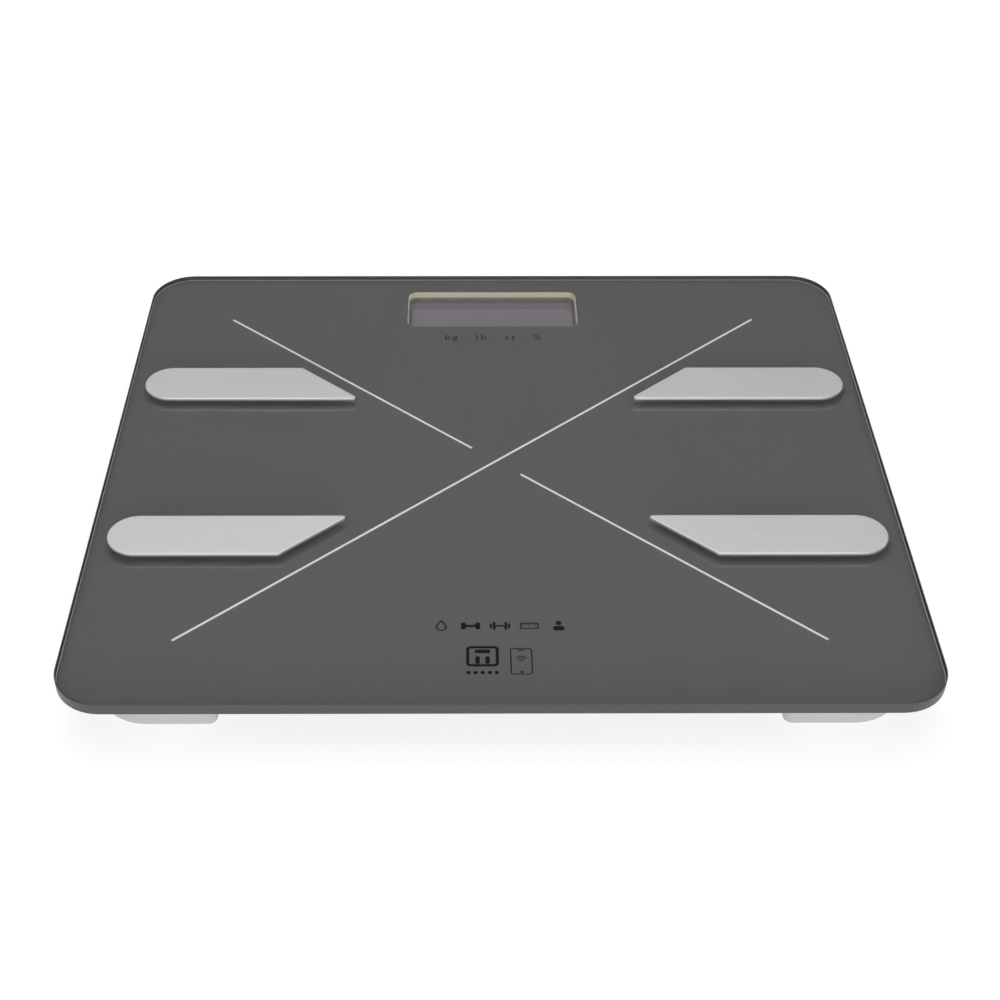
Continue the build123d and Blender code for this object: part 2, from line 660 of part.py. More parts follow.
def make_housing_frame():
    """Upper shell of the electronics housing: roof with the display opening, walls and bosses."""
    with BuildPart() as frame:
        extrude(housing_outline(frame_bottom, 0), amount=pad_bottom - frame_bottom)
        fillet(frame.faces().sort_by(Axis.Z)[-1].edges(), HOUSING_EDGE)
        hollow = housing_outline(frame_bottom, HOUSING_WALL)
        extrude(hollow, amount=roof_bottom - frame_bottom, mode=Mode.SUBTRACT)
        with BuildSketch(Plane.XY.offset(frame_bottom)):
            with Locations((0, housing_y)):
                with GridLocations(2 * screw_x, 2 * screw_y, 2, 2):
                    Circle(SCREW_BOSS_RADIUS)
        extrude(amount=roof_bottom - frame_bottom)
        with BuildSketch(Plane.XY.offset(frame_bottom)):
            with Locations((0, housing_y)):
                with GridLocations(2 * screw_x, 2 * screw_y, 2, 2):
                    Circle(SCREW_RADIUS + SCREW_HOLE_GAP)
        extrude(amount=SCREW_LENGTH, mode=Mode.SUBTRACT)
        with BuildSketch(Plane.XY.offset(roof_bottom)):
            with Locations((0, window_y)):
                Rectangle(bezel_width + 2 * LEAD_GAP, bezel_depth + 2 * LEAD_GAP)
        extrude(amount=HOUSING_ROOF, mode=Mode.SUBTRACT)
        notch = DUCT_WIDTH - 2 * DUCT_WALL
        with BuildSketch(Plane.XY.offset(duct_bottom)):
            for side in (-1, 1):
                wall = (housing_front - DUCT_OVERRUN, housing_front + HOUSING_WALL + DUCT_OVERRUN)
                front_duct_slice(side, wall, (-notch / 2, notch / 2))
                with Locations((side * (housing_width - HOUSING_WALL) / 2, back_duct_y)):
                    Rectangle(2 * HOUSING_WALL, notch)
                with Locations((side * (housing_width - HOUSING_WALL) / 2, thin_lead_entry_y)):
                    Rectangle(2 * HOUSING_WALL, notch / 2)
        extrude(amount=roof_bottom - duct_bottom, mode=Mode.SUBTRACT)
    return frame.part


def make_frame_pad():
    """Adhesive foam gasket between the housing roof and the print, round the window."""
    with BuildPart() as pad:
        extrude(housing_outline(pad_bottom, PAD_INSET), amount=PAD_THICKNESS)
        with BuildSketch(Plane.XY.offset(pad_bottom)):
            with Locations((0, window_y)):
                Rectangle(bezel_width, bezel_depth)
        extrude(amount=PAD_THICKNESS, mode=Mode.SUBTRACT)
    return pad.part


def make_housing_cover():
    """Bottom plate with the battery bay walls, the door opening and the button hole."""
    with BuildPart() as cover:
        extrude(housing_outline(COVER_BOTTOM, 0), amount=COVER_THICKNESS)
        fillet(cover.faces().sort_by(Axis.Z)[0].edges(), COVER_EDGE)
        with BuildSketch(Plane.XY.offset(cover_top)):
            with Locations((0, bay_y)):
                Rectangle(bay_length + 2 * BAY_WALL, bay_depth + 2 * BAY_WALL)
                Rectangle(bay_length, bay_depth, mode=Mode.SUBTRACT)
        extrude(amount=BAY_WALL_HEIGHT)
        with BuildSketch(Plane.XY.offset(COVER_BOTTOM)):
            with Locations((0, bay_y)):
                Rectangle(door_width, bay_depth)
        extrude(amount=COVER_THICKNESS, mode=Mode.SUBTRACT)
        pin_reach = door_width / 2 + DOOR_PIN_LENGTH
        with BuildSketch(Plane(origin=(-pin_reach, 0, 0), x_dir=(0, 1, 0), z_dir=(1, 0, 0))):
            with Locations((door_pivot_y, door_pivot_z)):
                Circle(DOOR_PIN_RADIUS + DOOR_PIN_CLEARANCE)
        extrude(amount=2 * pin_reach, mode=Mode.SUBTRACT)
        with BuildSketch(Plane.XY.offset(COVER_BOTTOM)):
            with Locations((BUTTON_X, button_y)):
                Circle(BUTTON_RADIUS + BUTTON_CLEARANCE)
        extrude(amount=COVER_THICKNESS, mode=Mode.SUBTRACT)
        with BuildSketch(Plane.XY.offset(COVER_BOTTOM)):
            with Locations((0, housing_y)):
                with GridLocations(2 * screw_x, 2 * screw_y, 2, 2):
                    Circle(SCREW_HEAD_RADIUS + COVER_GAP)
        extrude(amount=SCREW_RECESS, mode=Mode.SUBTRACT)
        with BuildSketch(Plane.XY.offset(COVER_BOTTOM)):
            with Locations((0, housing_y)):
                with GridLocations(2 * screw_x, 2 * screw_y, 2, 2):
                    Circle(SCREW_RADIUS + SCREW_HOLE_GAP)
        extrude(amount=COVER_THICKNESS, mode=Mode.SUBTRACT)
    return cover.part


def make_cover_screws():
    head_top = COVER_BOTTOM + SCREW_RECESS - STACK_GAP
    with BuildPart() as screws:
        with BuildSketch(Plane.XY.offset(head_top)):
            with Locations((0, housing_y)):
                with GridLocations(2 * screw_x, 2 * screw_y, 2, 2):
                    Circle(SCREW_HEAD_RADIUS)
        extrude(amount=-SCREW_HEAD_HEIGHT)
        slot_low = Plane.XY.offset(head_top - SCREW_HEAD_HEIGHT)
        with BuildSketch(slot_low):
            with Locations((0, housing_y)):
                with GridLocations(2 * screw_x, 2 * screw_y, 2, 2):
                    Rectangle(SCREW_HEAD_RADIUS, SCREW_CROSS_WIDTH)
                    Rectangle(SCREW_CROSS_WIDTH, SCREW_HEAD_RADIUS)
        extrude(amount=SCREW_HEAD_HEIGHT / 2, mode=Mode.SUBTRACT)
        with BuildSketch(Plane.XY.offset(head_top)):
            with Locations((0, housing_y)):
                with GridLocations(2 * screw_x, 2 * screw_y, 2, 2):
                    Circle(SCREW_RADIUS)
        extrude(amount=SCREW_LENGTH)
    return screws.part


def make_battery_door():
    """Flap with a round hinge edge, two end pins and shallow finger grooves."""
    back = bay_front + bay_depth - DOOR_CLEARANCE
    half_width = door_width / 2 - DOOR_CLEARANCE
    knuckle = Plane(origin=(-half_width, door_pivot_y, door_pivot_z), x_dir=(0, 1, 0), z_dir=(1, 0, 0))
    with BuildPart() as door:
        with BuildSketch(Plane.XY.offset(COVER_BOTTOM)):
            with Locations((0, (door_pivot_y + back) / 2)):
                Rectangle(2 * half_width, back - door_pivot_y)
        extrude(amount=COVER_THICKNESS)
        with BuildSketch(knuckle):
            Circle(COVER_THICKNESS / 2)
        extrude(amount=2 * half_width)
        with BuildSketch(knuckle.offset(-DOOR_PIN_LENGTH)):
            Circle(DOOR_PIN_RADIUS)
        extrude(amount=2 * (half_width + DOOR_PIN_LENGTH))
        with BuildSketch(Plane.XY.offset(COVER_BOTTOM)):
            with Locations((0, back - DOOR_GRIP_COUNT * DOOR_GRIP_PITCH)):
                with GridLocations(1, DOOR_GRIP_PITCH, 1, DOOR_GRIP_COUNT):
                    SlotOverall(DOOR_GRIP_LENGTH, DOOR_GRIP_WIDTH)
        extrude(amount=DOOR_GRIP_DEPTH, mode=Mode.SUBTRACT)
    return door.part


def battery_row(index):
    """Middle of a cell's row, counted from the front."""
    return bay_front + BAY_SIDE_GAP + (index + 0.5) * BATTERY_PITCH


def battery_way(index):
    """Cells lie head to tail: 1 points the positive end along +X."""
    return 1 if index % 2 == 0 else -1


def make_battery(index):
    way = battery_way(index)
    body = BATTERY_LENGTH - BATTERY_NUB
    middle = way * battery_x
    tail = Plane(
        origin=(middle - way * BATTERY_LENGTH / 2, battery_row(index), battery_axis),
        x_dir=(0, 1, 0),
        z_dir=(way, 0, 0),
    )
    with BuildPart() as battery:
        with BuildSketch(tail):
            Circle(BATTERY_RADIUS)
        extrude(amount=body)
        fillet(battery.edges().filter_by(GeomType.CIRCLE), BATTERY_EDGE)
        with BuildSketch(tail.offset(body)):
            Circle(BATTERY_NUB_RADIUS)
        extrude(amount=BATTERY_NUB)
    return battery.part


def make_battery_springs():
    """Three coil springs against the negative ends."""
    room = SPRING_ROOM - SPRING_WIRE * 2 - 2 * LEAD_GAP
    with BuildPart() as springs:
        for index in range(CELL_COUNT):
            way = battery_way(index)
            start = Vector(
                way * (-bay_length / 2 + CONTACT_THICKNESS + SPRING_WIRE + LEAD_GAP),
                battery_row(index),
                battery_axis,
            )
            with BuildLine() as coil:
                Helix(
                    pitch=room / SPRING_TURNS,
                    height=room,
                    radius=SPRING_RADIUS,
                    center=start,
                    direction=(way, 0, 0),
                )
            with BuildSketch(Plane(origin=coil.line @ 0, z_dir=coil.line % 0)):
                Circle(SPRING_WIRE)
            sweep(path=coil.line, is_frenet=True)
    return springs.part


def make_battery_contacts():
    """Thin plates at both ends of the bay, one behind each cell end."""
    with BuildPart() as contacts:
        for index in range(CELL_COUNT):
            for side in (-1, 1):
                x = side * (bay_length / 2 - CONTACT_THICKNESS / 2)
                with BuildSketch(Plane.XY.offset(battery_axis - CONTACT_HEIGHT / 2)):
                    with Locations((x, battery_row(index))):
                        Rectangle(CONTACT_THICKNESS - 2 * STACK_GAP, CONTACT_DEPTH)
        extrude(amount=CONTACT_HEIGHT)
    return contacts.part


def make_lcd_bezel():
    """Light frame that lines the recess between the window and the display glass."""
    with BuildPart() as bezel:
        with BuildSketch(Plane.XY.offset(lcd_top)):
            with Locations((0, window_y)):
                Rectangle(bezel_width, bezel_depth)
        extrude(amount=print_bottom - STACK_GAP - lcd_top)
        with BuildSketch(Plane.XY.offset(lcd_top)):
            with Locations((0, window_y)):
                RectangleRounded(
                    WINDOW_WIDTH - 2 * BEZEL_LIP, WINDOW_DEPTH - 2 * BEZEL_LIP, WINDOW_CORNER - BEZEL_LIP
                )
        extrude(amount=print_bottom - STACK_GAP - lcd_top, mode=Mode.SUBTRACT)
    return bezel.part


def make_lcd_glass():
    with BuildPart() as lcd:
        with BuildSketch(Plane.XY.offset(lcd_bottom)):
            with Locations((0, window_y)):
                Rectangle(WINDOW_WIDTH + 2 * LCD_RIM, WINDOW_DEPTH + 2 * LCD_RIM)
        extrude(amount=LCD_THICKNESS - STACK_GAP)
    return lcd.part


def make_lcd_reflector():
    with BuildPart() as reflector:
        with BuildSketch(Plane.XY.offset(lcd_bottom)):
            with Locations((0, window_y)):
                Rectangle(WINDOW_WIDTH, WINDOW_DEPTH - 2 * CONNECTOR_DEPTH)
        extrude(amount=-REFLECTOR_THICKNESS)
    return reflector.part


def make_lcd_connectors():
    """Two elastomer strips that join the display glass to the board."""
    height = lcd_bottom - board_top - 2 * STACK_GAP
    with BuildPart() as strips:
        with BuildSketch(Plane.XY.offset(board_top + STACK_GAP)):
            with Locations((0, window_y)):
                with GridLocations(1, WINDOW_DEPTH - CONNECTOR_DEPTH + LCD_RIM, 1, 2):
                    Rectangle(WINDOW_WIDTH - 2 * CONNECTOR_INSET, CONNECTOR_DEPTH)
        extrude(amount=height)
    return strips.part


def make_circuit_board():
    with BuildPart() as board:
        with BuildSketch(Plane.XY.offset(board_bottom)):
            with Locations((0, window_y)):
                RectangleRounded(board_width, BOARD_DEPTH, BOARD_CORNER)
        extrude(amount=BOARD_THICKNESS)
    return board.part


def make_main_chip():
    with BuildPart() as chip:
        with BuildSketch(Plane.XY.offset(board_bottom)):
            with Locations((CHIP_FROM_CENTRE, window_y)):
                Rectangle(CHIP_SIZE, CHIP_SIZE)
        extrude(amount=-CHIP_HEIGHT)
        chamfer(chip.faces().sort_by(Axis.Z)[0].edges(), CHIP_EDGE)
    return chip.part


def make_wireless_module():
    with BuildPart() as radio:
        with BuildSketch(Plane.XY.offset(board_bottom)):
            with Locations((RADIO_FROM_CENTRE, window_y)):
                Rectangle(RADIO_WIDTH, RADIO_DEPTH)
        extrude(amount=-RADIO_HEIGHT)
    return radio.part


def make_board_components():
    """Rows of small chip components on the underside of the board."""
    with BuildPart() as components:
        with BuildSketch(Plane.XY.offset(board_bottom)):
            with Locations((-CHIP_SIZE, window_y)):
                with GridLocations(
                    SMALL_PART_PITCH, SMALL_PART_PITCH, SMALL_PART_COLUMNS, SMALL_PART_ROWS
                ):
                    Rectangle(SMALL_PART_LENGTH, SMALL_PART_DEPTH)
        extrude(amount=-SMALL_PART_HEIGHT)
    return components.part


def make_unit_switch():
    """Tact switch body with a bore for its plunger."""
    with BuildPart() as switch:
        with BuildSketch(Plane.XY.offset(switch_bottom)):
            with Locations((BUTTON_X, button_y)):
                Rectangle(SWITCH_SIZE, SWITCH_SIZE)
        extrude(amount=board_bottom - switch_bottom)
        with BuildSketch(Plane.XY.offset(switch_bottom)):
            with Locations((BUTTON_X, button_y)):
                Circle(PLUNGER_RADIUS + PLUNGER_CLEARANCE)
        extrude(amount=PLUNGER_INSIDE + BUTTON_TRAVEL + PLUNGER_SPARE, mode=Mode.SUBTRACT)
    return switch.part


def make_switch_plunger():
    with BuildPart() as plunger:
        with BuildSketch(Plane.XY.offset(flange_top)):
            with Locations((BUTTON_X, button_y)):
                Circle(PLUNGER_RADIUS)
        extrude(amount=switch_bottom + PLUNGER_INSIDE - flange_top)
    return plunger.part


def make_unit_button():
    """Round key with a retaining flange inside the cover."""
    with BuildPart() as button:
        with BuildSketch(Plane.XY.offset(COVER_BOTTOM - BUTTON_PROUD)):
            with Locations((BUTTON_X, button_y)):
                Circle(BUTTON_RADIUS)
        extrude(amount=flange_top - COVER_BOTTOM + BUTTON_PROUD)
        fillet(button.edges().filter_by(GeomType.CIRCLE).sort_by(Axis.Z)[0], BUTTON_PROUD)
        with BuildSketch(Plane.XY.offset(flange_bottom)):
            with Locations((BUTTON_X, button_y)):
                Circle(BUTTON_FLANGE_RADIUS)
        extrude(amount=BUTTON_FLANGE)
    return button.part


def duct_plan(corner, half_width, extra):
    """Plan of a duct: slanted from a front foot, or straight across from a back foot."""
    side, end = corner
    if end < 0:
        ends = (front_duct_start[1] - extra, front_duct_end[1] + extra)
        front_duct_slice(side, ends, (-half_width, half_width))
    else:
        inner = housing_width / 2 + DUCT_GAP
        outer = foot_x - FOOT_SIZE / 2 - DUCT_GAP
        with Locations((side * (inner + outer) / 2, back_duct_y)):
            Rectangle(outer - inner + 2 * extra, 2 * half_width)


def make_cable_duct(corner):
    """U-channel under the print, open at both ends; a front one has a side mouth."""
    side, end = corner
    with BuildPart() as duct:
        with BuildSketch(Plane.XY.offset(duct_bottom)):
            duct_plan(corner, DUCT_WIDTH / 2, 0)
        extrude(amount=DUCT_HEIGHT - STACK_GAP)
        with BuildSketch(Plane.XY.offset(duct_bottom + DUCT_WALL)):
            duct_plan(corner, DUCT_WIDTH / 2 - DUCT_WALL, DUCT_OVERRUN)
        extrude(amount=DUCT_HEIGHT, mode=Mode.SUBTRACT)
        if end < 0:
            mouth = (thin_lead_join_y - DUCT_NOTCH / 2, thin_lead_join_y + DUCT_NOTCH / 2)
            with BuildSketch(Plane.XY.offset(duct_bottom + DUCT_WALL)):
                front_duct_slice(side, mouth, (DUCT_WIDTH / 4, DUCT_WIDTH / 2 + DUCT_OVERRUN))
            extrude(amount=DUCT_HEIGHT, mode=Mode.SUBTRACT)
    return duct.part


def make_load_cell_lead(corner):
    """Lead from a load cell, through its duct and into the housing, down to the board."""
    side, end = corner
    landing = board_top + LEAD_RADIUS + LEAD_GAP
    if end < 0:
        cell_edge = -foot_y + CELL_SIZE / 2 + LEAD_GAP
        inside = housing_front + BAY_FRONT_GAP
        points = [
            (front_duct_x(cell_edge, -LEAD_LANE), cell_edge, LEAD_HEIGHT),
            (front_duct_x(inside, -LEAD_LANE), inside, LEAD_HEIGHT),
            (lane_x[0], board_front - BOARD_APPROACH, LEAD_HEIGHT),
            (lane_x[0], board_front + LEAD_RADIUS, landing),
            (lane_x[0], board_front + LANDING_LENGTH, landing),
        ]
    else:
        cell_edge = foot_x - CELL_SIZE / 2 - LEAD_GAP
        board_side = board_width / 2
        points = [
            (cell_edge, back_duct_y, LEAD_HEIGHT),
            (board_side + BOARD_APPROACH, back_duct_y, LEAD_HEIGHT),
            (board_side - LEAD_RADIUS, back_duct_y, landing),
            (board_side - LANDING_LENGTH, back_duct_y, landing),
        ]
    return make_lead([(side * x, y, z) for x, y, z in points], LEAD_RADIUS)


def electrode_lead_points(corner):
    """Route of a thin lead from a ring terminal to the board."""
    side, end = corner
    landing = board_top + THIN_LEAD_RADIUS + LEAD_GAP
    if end < 0:
        start = -ELECTRODE_ROW + TERMINAL_RADIUS + LEAD_GAP
        inside = housing_front + BAY_FRONT_GAP
        points = [
            (stud_x, start, barrel_z),
            (stud_x, start + BARREL_LENGTH + THIN_RUN, barrel_z),
            (front_duct_x(thin_lead_join_y, LEAD_LANE), thin_lead_join_y, LEAD_HEIGHT),
            (front_duct_x(inside, LEAD_LANE), inside, LEAD_HEIGHT),
            (lane_x[1], board_front - BOARD_APPROACH, LEAD_HEIGHT),
            (lane_x[1], board_front + LEAD_RADIUS, landing),
            (lane_x[1], board_front + LANDING_LENGTH, landing),
        ]
    else:
        start = stud_x - TERMINAL_RADIUS - LEAD_GAP
        points = [
            (start, ELECTRODE_ROW, barrel_z),
            (start - BARREL_LENGTH - THIN_RUN, ELECTRODE_ROW, barrel_z),
            (housing_width / 2 + THIN_RUN, thin_lead_entry_y, LEAD_HEIGHT),
            (lane_x[2] + LEAD_LANE, thin_lead_entry_y, LEAD_HEIGHT),
            (lane_x[2], board_front - BOARD_APPROACH, LEAD_HEIGHT),
            (lane_x[2], board_front + LEAD_RADIUS, landing),
            (lane_x[2], board_front + LANDING_LENGTH, landing),
        ]
    return [(side * x, y, z) for x, y, z in points]


def make_battery_lead(side):
    """Short lead from an end contact to the board."""
    landing = board_top + THIN_LEAD_RADIUS + LEAD_GAP
    x = side * (bay_length / 2 + BAY_WALL + 2 * THIN_LEAD_RADIUS)
    landing_x = side * (WINDOW_WIDTH - CONNECTOR_INSET) / 2
    points = [
        (x, battery_row(CELL_COUNT - 1), board_top + LEAD_RADIUS),
        (x, board_front - 2 * THIN_RUN, board_top + LEAD_RADIUS),
        (landing_x, board_front - LEAD_RADIUS, landing),
        (landing_x, board_front + LANDING_LENGTH, landing),
    ]
    return make_lead(points, THIN_LEAD_RADIUS)


def save(name, part):
    part.label = name
    export_step(part, f"parts/{name}.step")


def main():
    os.makedirs("parts", exist_ok=True)
    save("glass_platform", make_glass_platform())
    save("ink_layer", make_ink_layer())
    save("diagonal_lines", make_diagonal_lines())
    save("stud_bushes", make_stud_bushes())
    save("ring_terminals", make_ring_terminals())
    save("stud_nuts", make_stud_nuts())
    save("foot_pads", make_foot_pads())
    save("cell_screws", make_cell_screws())
    save("strain_gauges", make_strain_gauges())
    for name, corner in CORNERS.items():
        save(f"electrode_{name}", make_electrode(corner))
        save(f"foot_housing_{name}", make_foot_housing(corner))
        save(f"load_cell_{name}", make_load_cell(corner))
        save(f"foot_cup_{name}", make_foot_cup(corner))
        save(f"foot_sole_{name}", make_foot_sole(corner))
        save(f"cable_duct_{name}", make_cable_duct(corner))
        save(f"load_cell_lead_{name}", make_load_cell_lead(corner))
    thin_leads = [make_lead(electrode_lead_points(corner), THIN_LEAD_RADIUS) for corner in CORNERS.values()]
    save("electrode_leads", Compound(children=thin_leads))
    save("battery_leads", Compound(children=[make_battery_lead(side) for side in (-1, 1)]))
    save("housing_frame", make_housing_frame())
    save("frame_pad", make_frame_pad())
    save("housing_cover", make_housing_cover())
    save("cover_screws", make_cover_screws())
    save("battery_door", make_battery_door())
    for index in range(CELL_COUNT):
        save(f"battery_{index + 1}", make_battery(index))
    save("battery_springs", make_battery_springs())
    save("battery_contacts", make_battery_contacts())
    save("lcd_bezel", make_lcd_bezel())
    save("lcd_glass", make_lcd_glass())
    save("lcd_reflector", make_lcd_reflector())
    save("lcd_connectors", make_lcd_connectors())
    save("circuit_board", make_circuit_board())
    save("main_chip", make_main_chip())
    save("wireless_module", make_wireless_module())
    save("board_components", make_board_components())
    save("unit_switch", make_unit_switch())
    save("switch_plunger", make_switch_plunger())
    save("unit_button", make_unit_button())


main()
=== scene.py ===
"""The looks of a glass bathroom scale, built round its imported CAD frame.

Every length is in metres. X points to the user's right, Y to the display end and Z up.
"""

import json
import logging
import math
from dataclasses import dataclass
from enum import Enum
from typing import Any, Iterable, Sequence, Union

import bmesh
import bpy
from mathutils import Matrix, Vector

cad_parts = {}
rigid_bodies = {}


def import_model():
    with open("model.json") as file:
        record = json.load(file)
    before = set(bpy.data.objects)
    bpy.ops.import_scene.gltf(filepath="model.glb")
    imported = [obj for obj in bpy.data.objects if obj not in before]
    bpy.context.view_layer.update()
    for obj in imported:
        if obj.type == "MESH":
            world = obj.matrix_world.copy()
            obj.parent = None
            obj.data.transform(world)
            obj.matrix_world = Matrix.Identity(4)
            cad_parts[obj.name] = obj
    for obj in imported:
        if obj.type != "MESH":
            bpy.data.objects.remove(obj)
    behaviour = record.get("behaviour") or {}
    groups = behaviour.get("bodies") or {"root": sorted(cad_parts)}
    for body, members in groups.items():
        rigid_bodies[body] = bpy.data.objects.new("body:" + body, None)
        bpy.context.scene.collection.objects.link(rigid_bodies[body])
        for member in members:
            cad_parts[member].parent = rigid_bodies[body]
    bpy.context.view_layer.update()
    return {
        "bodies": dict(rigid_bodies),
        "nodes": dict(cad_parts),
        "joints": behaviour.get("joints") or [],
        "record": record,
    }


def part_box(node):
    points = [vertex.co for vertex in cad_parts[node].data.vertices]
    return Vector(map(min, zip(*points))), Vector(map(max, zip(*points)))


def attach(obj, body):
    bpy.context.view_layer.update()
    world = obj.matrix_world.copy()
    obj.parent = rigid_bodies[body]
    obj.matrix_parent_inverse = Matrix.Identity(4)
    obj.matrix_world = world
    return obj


log = logging.getLogger("scale")

MM = 0.001
Number = Union[int, float]
Rgb = tuple[float, float, float]
CORNERS = ("front_left", "front_right", "back_left", "back_right")


# ---------------------------------------------------------------- shader maths


class Wire:
    """A node's output socket that adds Math nodes when it is used in an expression."""

    def __init__(self, recipe: "Recipe", socket: bpy.types.NodeSocket) -> None:
        """Wraps an output socket of a recipe's node tree."""
        self.recipe = recipe
        self.socket = socket

    def _math(self, operation: str, first: Any, second: Any) -> "Wire":
        """Adds one Math node and gives its output."""
        return self.recipe.node("ShaderNodeMath", {"operation": operation}, {0: first, 1: second})

    def __add__(self, other: Any) -> "Wire":
        """Sum with a number or another wire."""
        return self._math("ADD", self, other)

    __radd__ = __add__

    def __mul__(self, other: Any) -> "Wire":
        """Product with a number or another wire."""
        return self._math("MULTIPLY", self, other)

    __rmul__ = __mul__

    def __sub__(self, other: Any) -> "Wire":
        """This wire less another value."""
        return self._math("SUBTRACT", self, other)

    def __rsub__(self, other: Any) -> "Wire":
        """Another value less this wire."""
        return self._math("SUBTRACT", other, self)

    def __gt__(self, other: Any) -> "Wire":
        """One where this wire is larger than the other value, and zero elsewhere."""
        return self._math("GREATER_THAN", self, other)


class Recipe:
    """One material's node tree, with a Principled shader ready to be fed."""

    def __init__(self, name: str) -> None:
        """Starts an empty material of that name.

        Args:
            name: the object's name.
        """
        self.material = bpy.data.materials.new(name)
        self.material.use_nodes = True
        self.tree = self.material.node_tree
        self.tree.nodes.clear()
        self.output = self.tree.nodes.new("ShaderNodeOutputMaterial")
        self.shader = self.tree.nodes.new("ShaderNodeBsdfPrincipled")
        self.tree.links.new(self.shader.outputs[0], self.output.inputs["Surface"])

    def connect(self, target: bpy.types.NodeSocket, value: Any) -> None:
        """Links a wire to a socket, or sets the socket to a plain value."""
        if isinstance(value, Wire):
            self.tree.links.new(value.socket, target)
        elif isinstance(value, tuple) and len(value) == 3 and target.type == "RGBA":
            target.default_value = (*value, 1.0)
        else:
            target.default_value = value

    def node(
        self,
        kind: str,
        settings: dict[str, Any] | None = None,
        inputs: dict[Union[int, str], Any] | None = None,
        output: Union[int, str] = 0,
    ) -> Wire:
        """Adds a node.

        Args:
            kind: the node's Blender type.
            settings: its own properties, and "stops" for a ramp's (place, colour) pairs.
            inputs: values or wires by socket name or number.
            output: which output socket to give.

        Returns:
            The chosen output as a wire.
        """
        made = self.tree.nodes.new(kind)
        for key, value in (settings or {}).items():
            if key == "stops":
                self._set_stops(made.color_ramp, value)
            else:
                setattr(made, key, value)
        for key, value in (inputs or {}).items():
            self.connect(made.inputs[key], value)
        return Wire(self, made.outputs[output])

    @staticmethod
    def _set_stops(ramp: bpy.types.ColorRamp, stops: Sequence[tuple[float, Rgb]]) -> None:
        """Gives a ramp its (place, colour) stops."""
        while len(ramp.elements) < len(stops):
            ramp.elements.new(1.0)
        for element, (place, colour) in zip(ramp.elements, stops):
            element.position = place
            element.color = (*colour, 1.0)

    def place(self, stretch: Rgb = (1.0, 1.0, 1.0)) -> Wire:
        """Object coordinates in metres, stretched along each axis."""
        spot = self.node("ShaderNodeTexCoord", output="Object")
        return self.node("ShaderNodeMapping", inputs={"Vector": spot, "Scale": stretch})

    def noise(self, scale: float, detail: float = 2.0, stretch: Rgb = (1.0, 1.0, 1.0)) -> Wire:
        """Smooth noise with `scale` blobs to the metre, before the stretch."""
        return self.node(
            "ShaderNodeTexNoise", inputs={"Vector": self.place(stretch), "Scale": scale, "Detail": detail}
        )

    def blend(self, share: Any, first: Any, second: Any) -> Wire:
        """Mixes two colours by a share from 0 to 1."""
        return self.node(
            "ShaderNodeMix", {"data_type": "RGBA"}, {0: share, 6: first, 7: second}, output=2
        )

    def bump(self, height: Wire, strength: float, distance: float) -> None:
        """Feeds the shader's normal with a bump of that height field."""
        normal = self.node(
            "ShaderNodeBump", inputs={"Height": height, "Strength": strength, "Distance": distance}
        )
        self.feed(Normal=normal)

    def feed(self, **values: Any) -> None:
        """Sets or links the Principled shader's sockets; an underscore stands for a space."""
        for key, value in values.items():
            self.connect(self.shader.inputs[key.replace("_", " ")], value)


def shade(colour: Rgb, factor: float) -> Rgb:
    """A colour made lighter or darker by a factor."""
    return tuple(min(part * factor, 1.0) for part in colour)


# ---------------------------------------------------------------- finishes


@dataclass(frozen=True)
class Finish:
    """A named surface finish; a subclass says how its nodes are made."""

    name: str

    def make(self) -> bpy.types.Material:
        """Builds the material.

        Returns:
            The finished material.
        """
        recipe = Recipe(self.name)
        self.cook(recipe)
        return recipe.material

    def cook(self, recipe: Recipe) -> None:
        """Feeds the recipe's shader."""
        raise NotImplementedError


@dataclass(frozen=True)
class Moulded(Finish):
    """Spark-eroded moulded plastic, with a fine grain and slight handling marks."""

    colour: Rgb
    roughness: float = 0.5
    grain: float = 2600.0
    depth: float = 0.00003

    def cook(self, recipe: Recipe) -> None:
        """Grain in the bump, cloudy variation in colour and gloss.

        Args:
            recipe: the material that is being made.
        """
        cloud = recipe.noise(38.0, 4.0)
        grain = recipe.noise(self.grain, 3.0)
        base = recipe.blend(cloud, shade(self.colour, 0.94), shade(self.colour, 1.06))
        recipe.feed(
            Base_Color=recipe.blend(grain * 0.25, base, shade(self.colour, 0.80)),
            Roughness=self.roughness + (grain - 0.5) * 0.16 + (cloud - 0.5) * 0.10,
        )
        recipe.bump(grain, 0.35, self.depth)


@dataclass(frozen=True)
class SatinMetal(Finish):
    """Sheet metal with fine brush marks along one axis."""

    colour: Rgb
    roughness: float = 0.36
    along: Rgb = (14.0, 900.0, 900.0)
    strength: float = 0.12

    def cook(self, recipe: Recipe) -> None:
        """Brush marks in colour, gloss and bump.

        Args:
            recipe: the material that is being made.
        """
        strokes = recipe.noise(4.0, 6.0, self.along)
        cloud = recipe.noise(24.0, 3.0)
        base = recipe.blend(strokes, shade(self.colour, 0.93), shade(self.colour, 1.07))
        recipe.feed(
            Base_Color=recipe.blend(cloud * 0.3, base, shade(self.colour, 0.93)),
            Metallic=1.0,
            Roughness=self.roughness + (strokes - 0.5) * 0.14 + (cloud - 0.5) * 0.08,
        )
        recipe.bump(strokes, self.strength, 0.00002)


@dataclass(frozen=True)
class Plated(Finish):
    """Zinc, nickel or tin plate, blotchy at a fine scale."""

    colour: Rgb
    roughness: float = 0.28

    def cook(self, recipe: Recipe) -> None:
        """Spangled plating.

        Args:
            recipe: the material that is being made.
        """
        spangle = recipe.noise(900.0, 4.0)
        stain = recipe.noise(160.0, 3.0)
        recipe.feed(
            Base_Color=recipe.blend(stain, shade(self.colour, 0.82), shade(self.colour, 1.08)),
            Metallic=1.0,
            Roughness=self.roughness + (spangle - 0.5) * 0.22,
        )
        recipe.bump(spangle, 0.2, 0.00002)


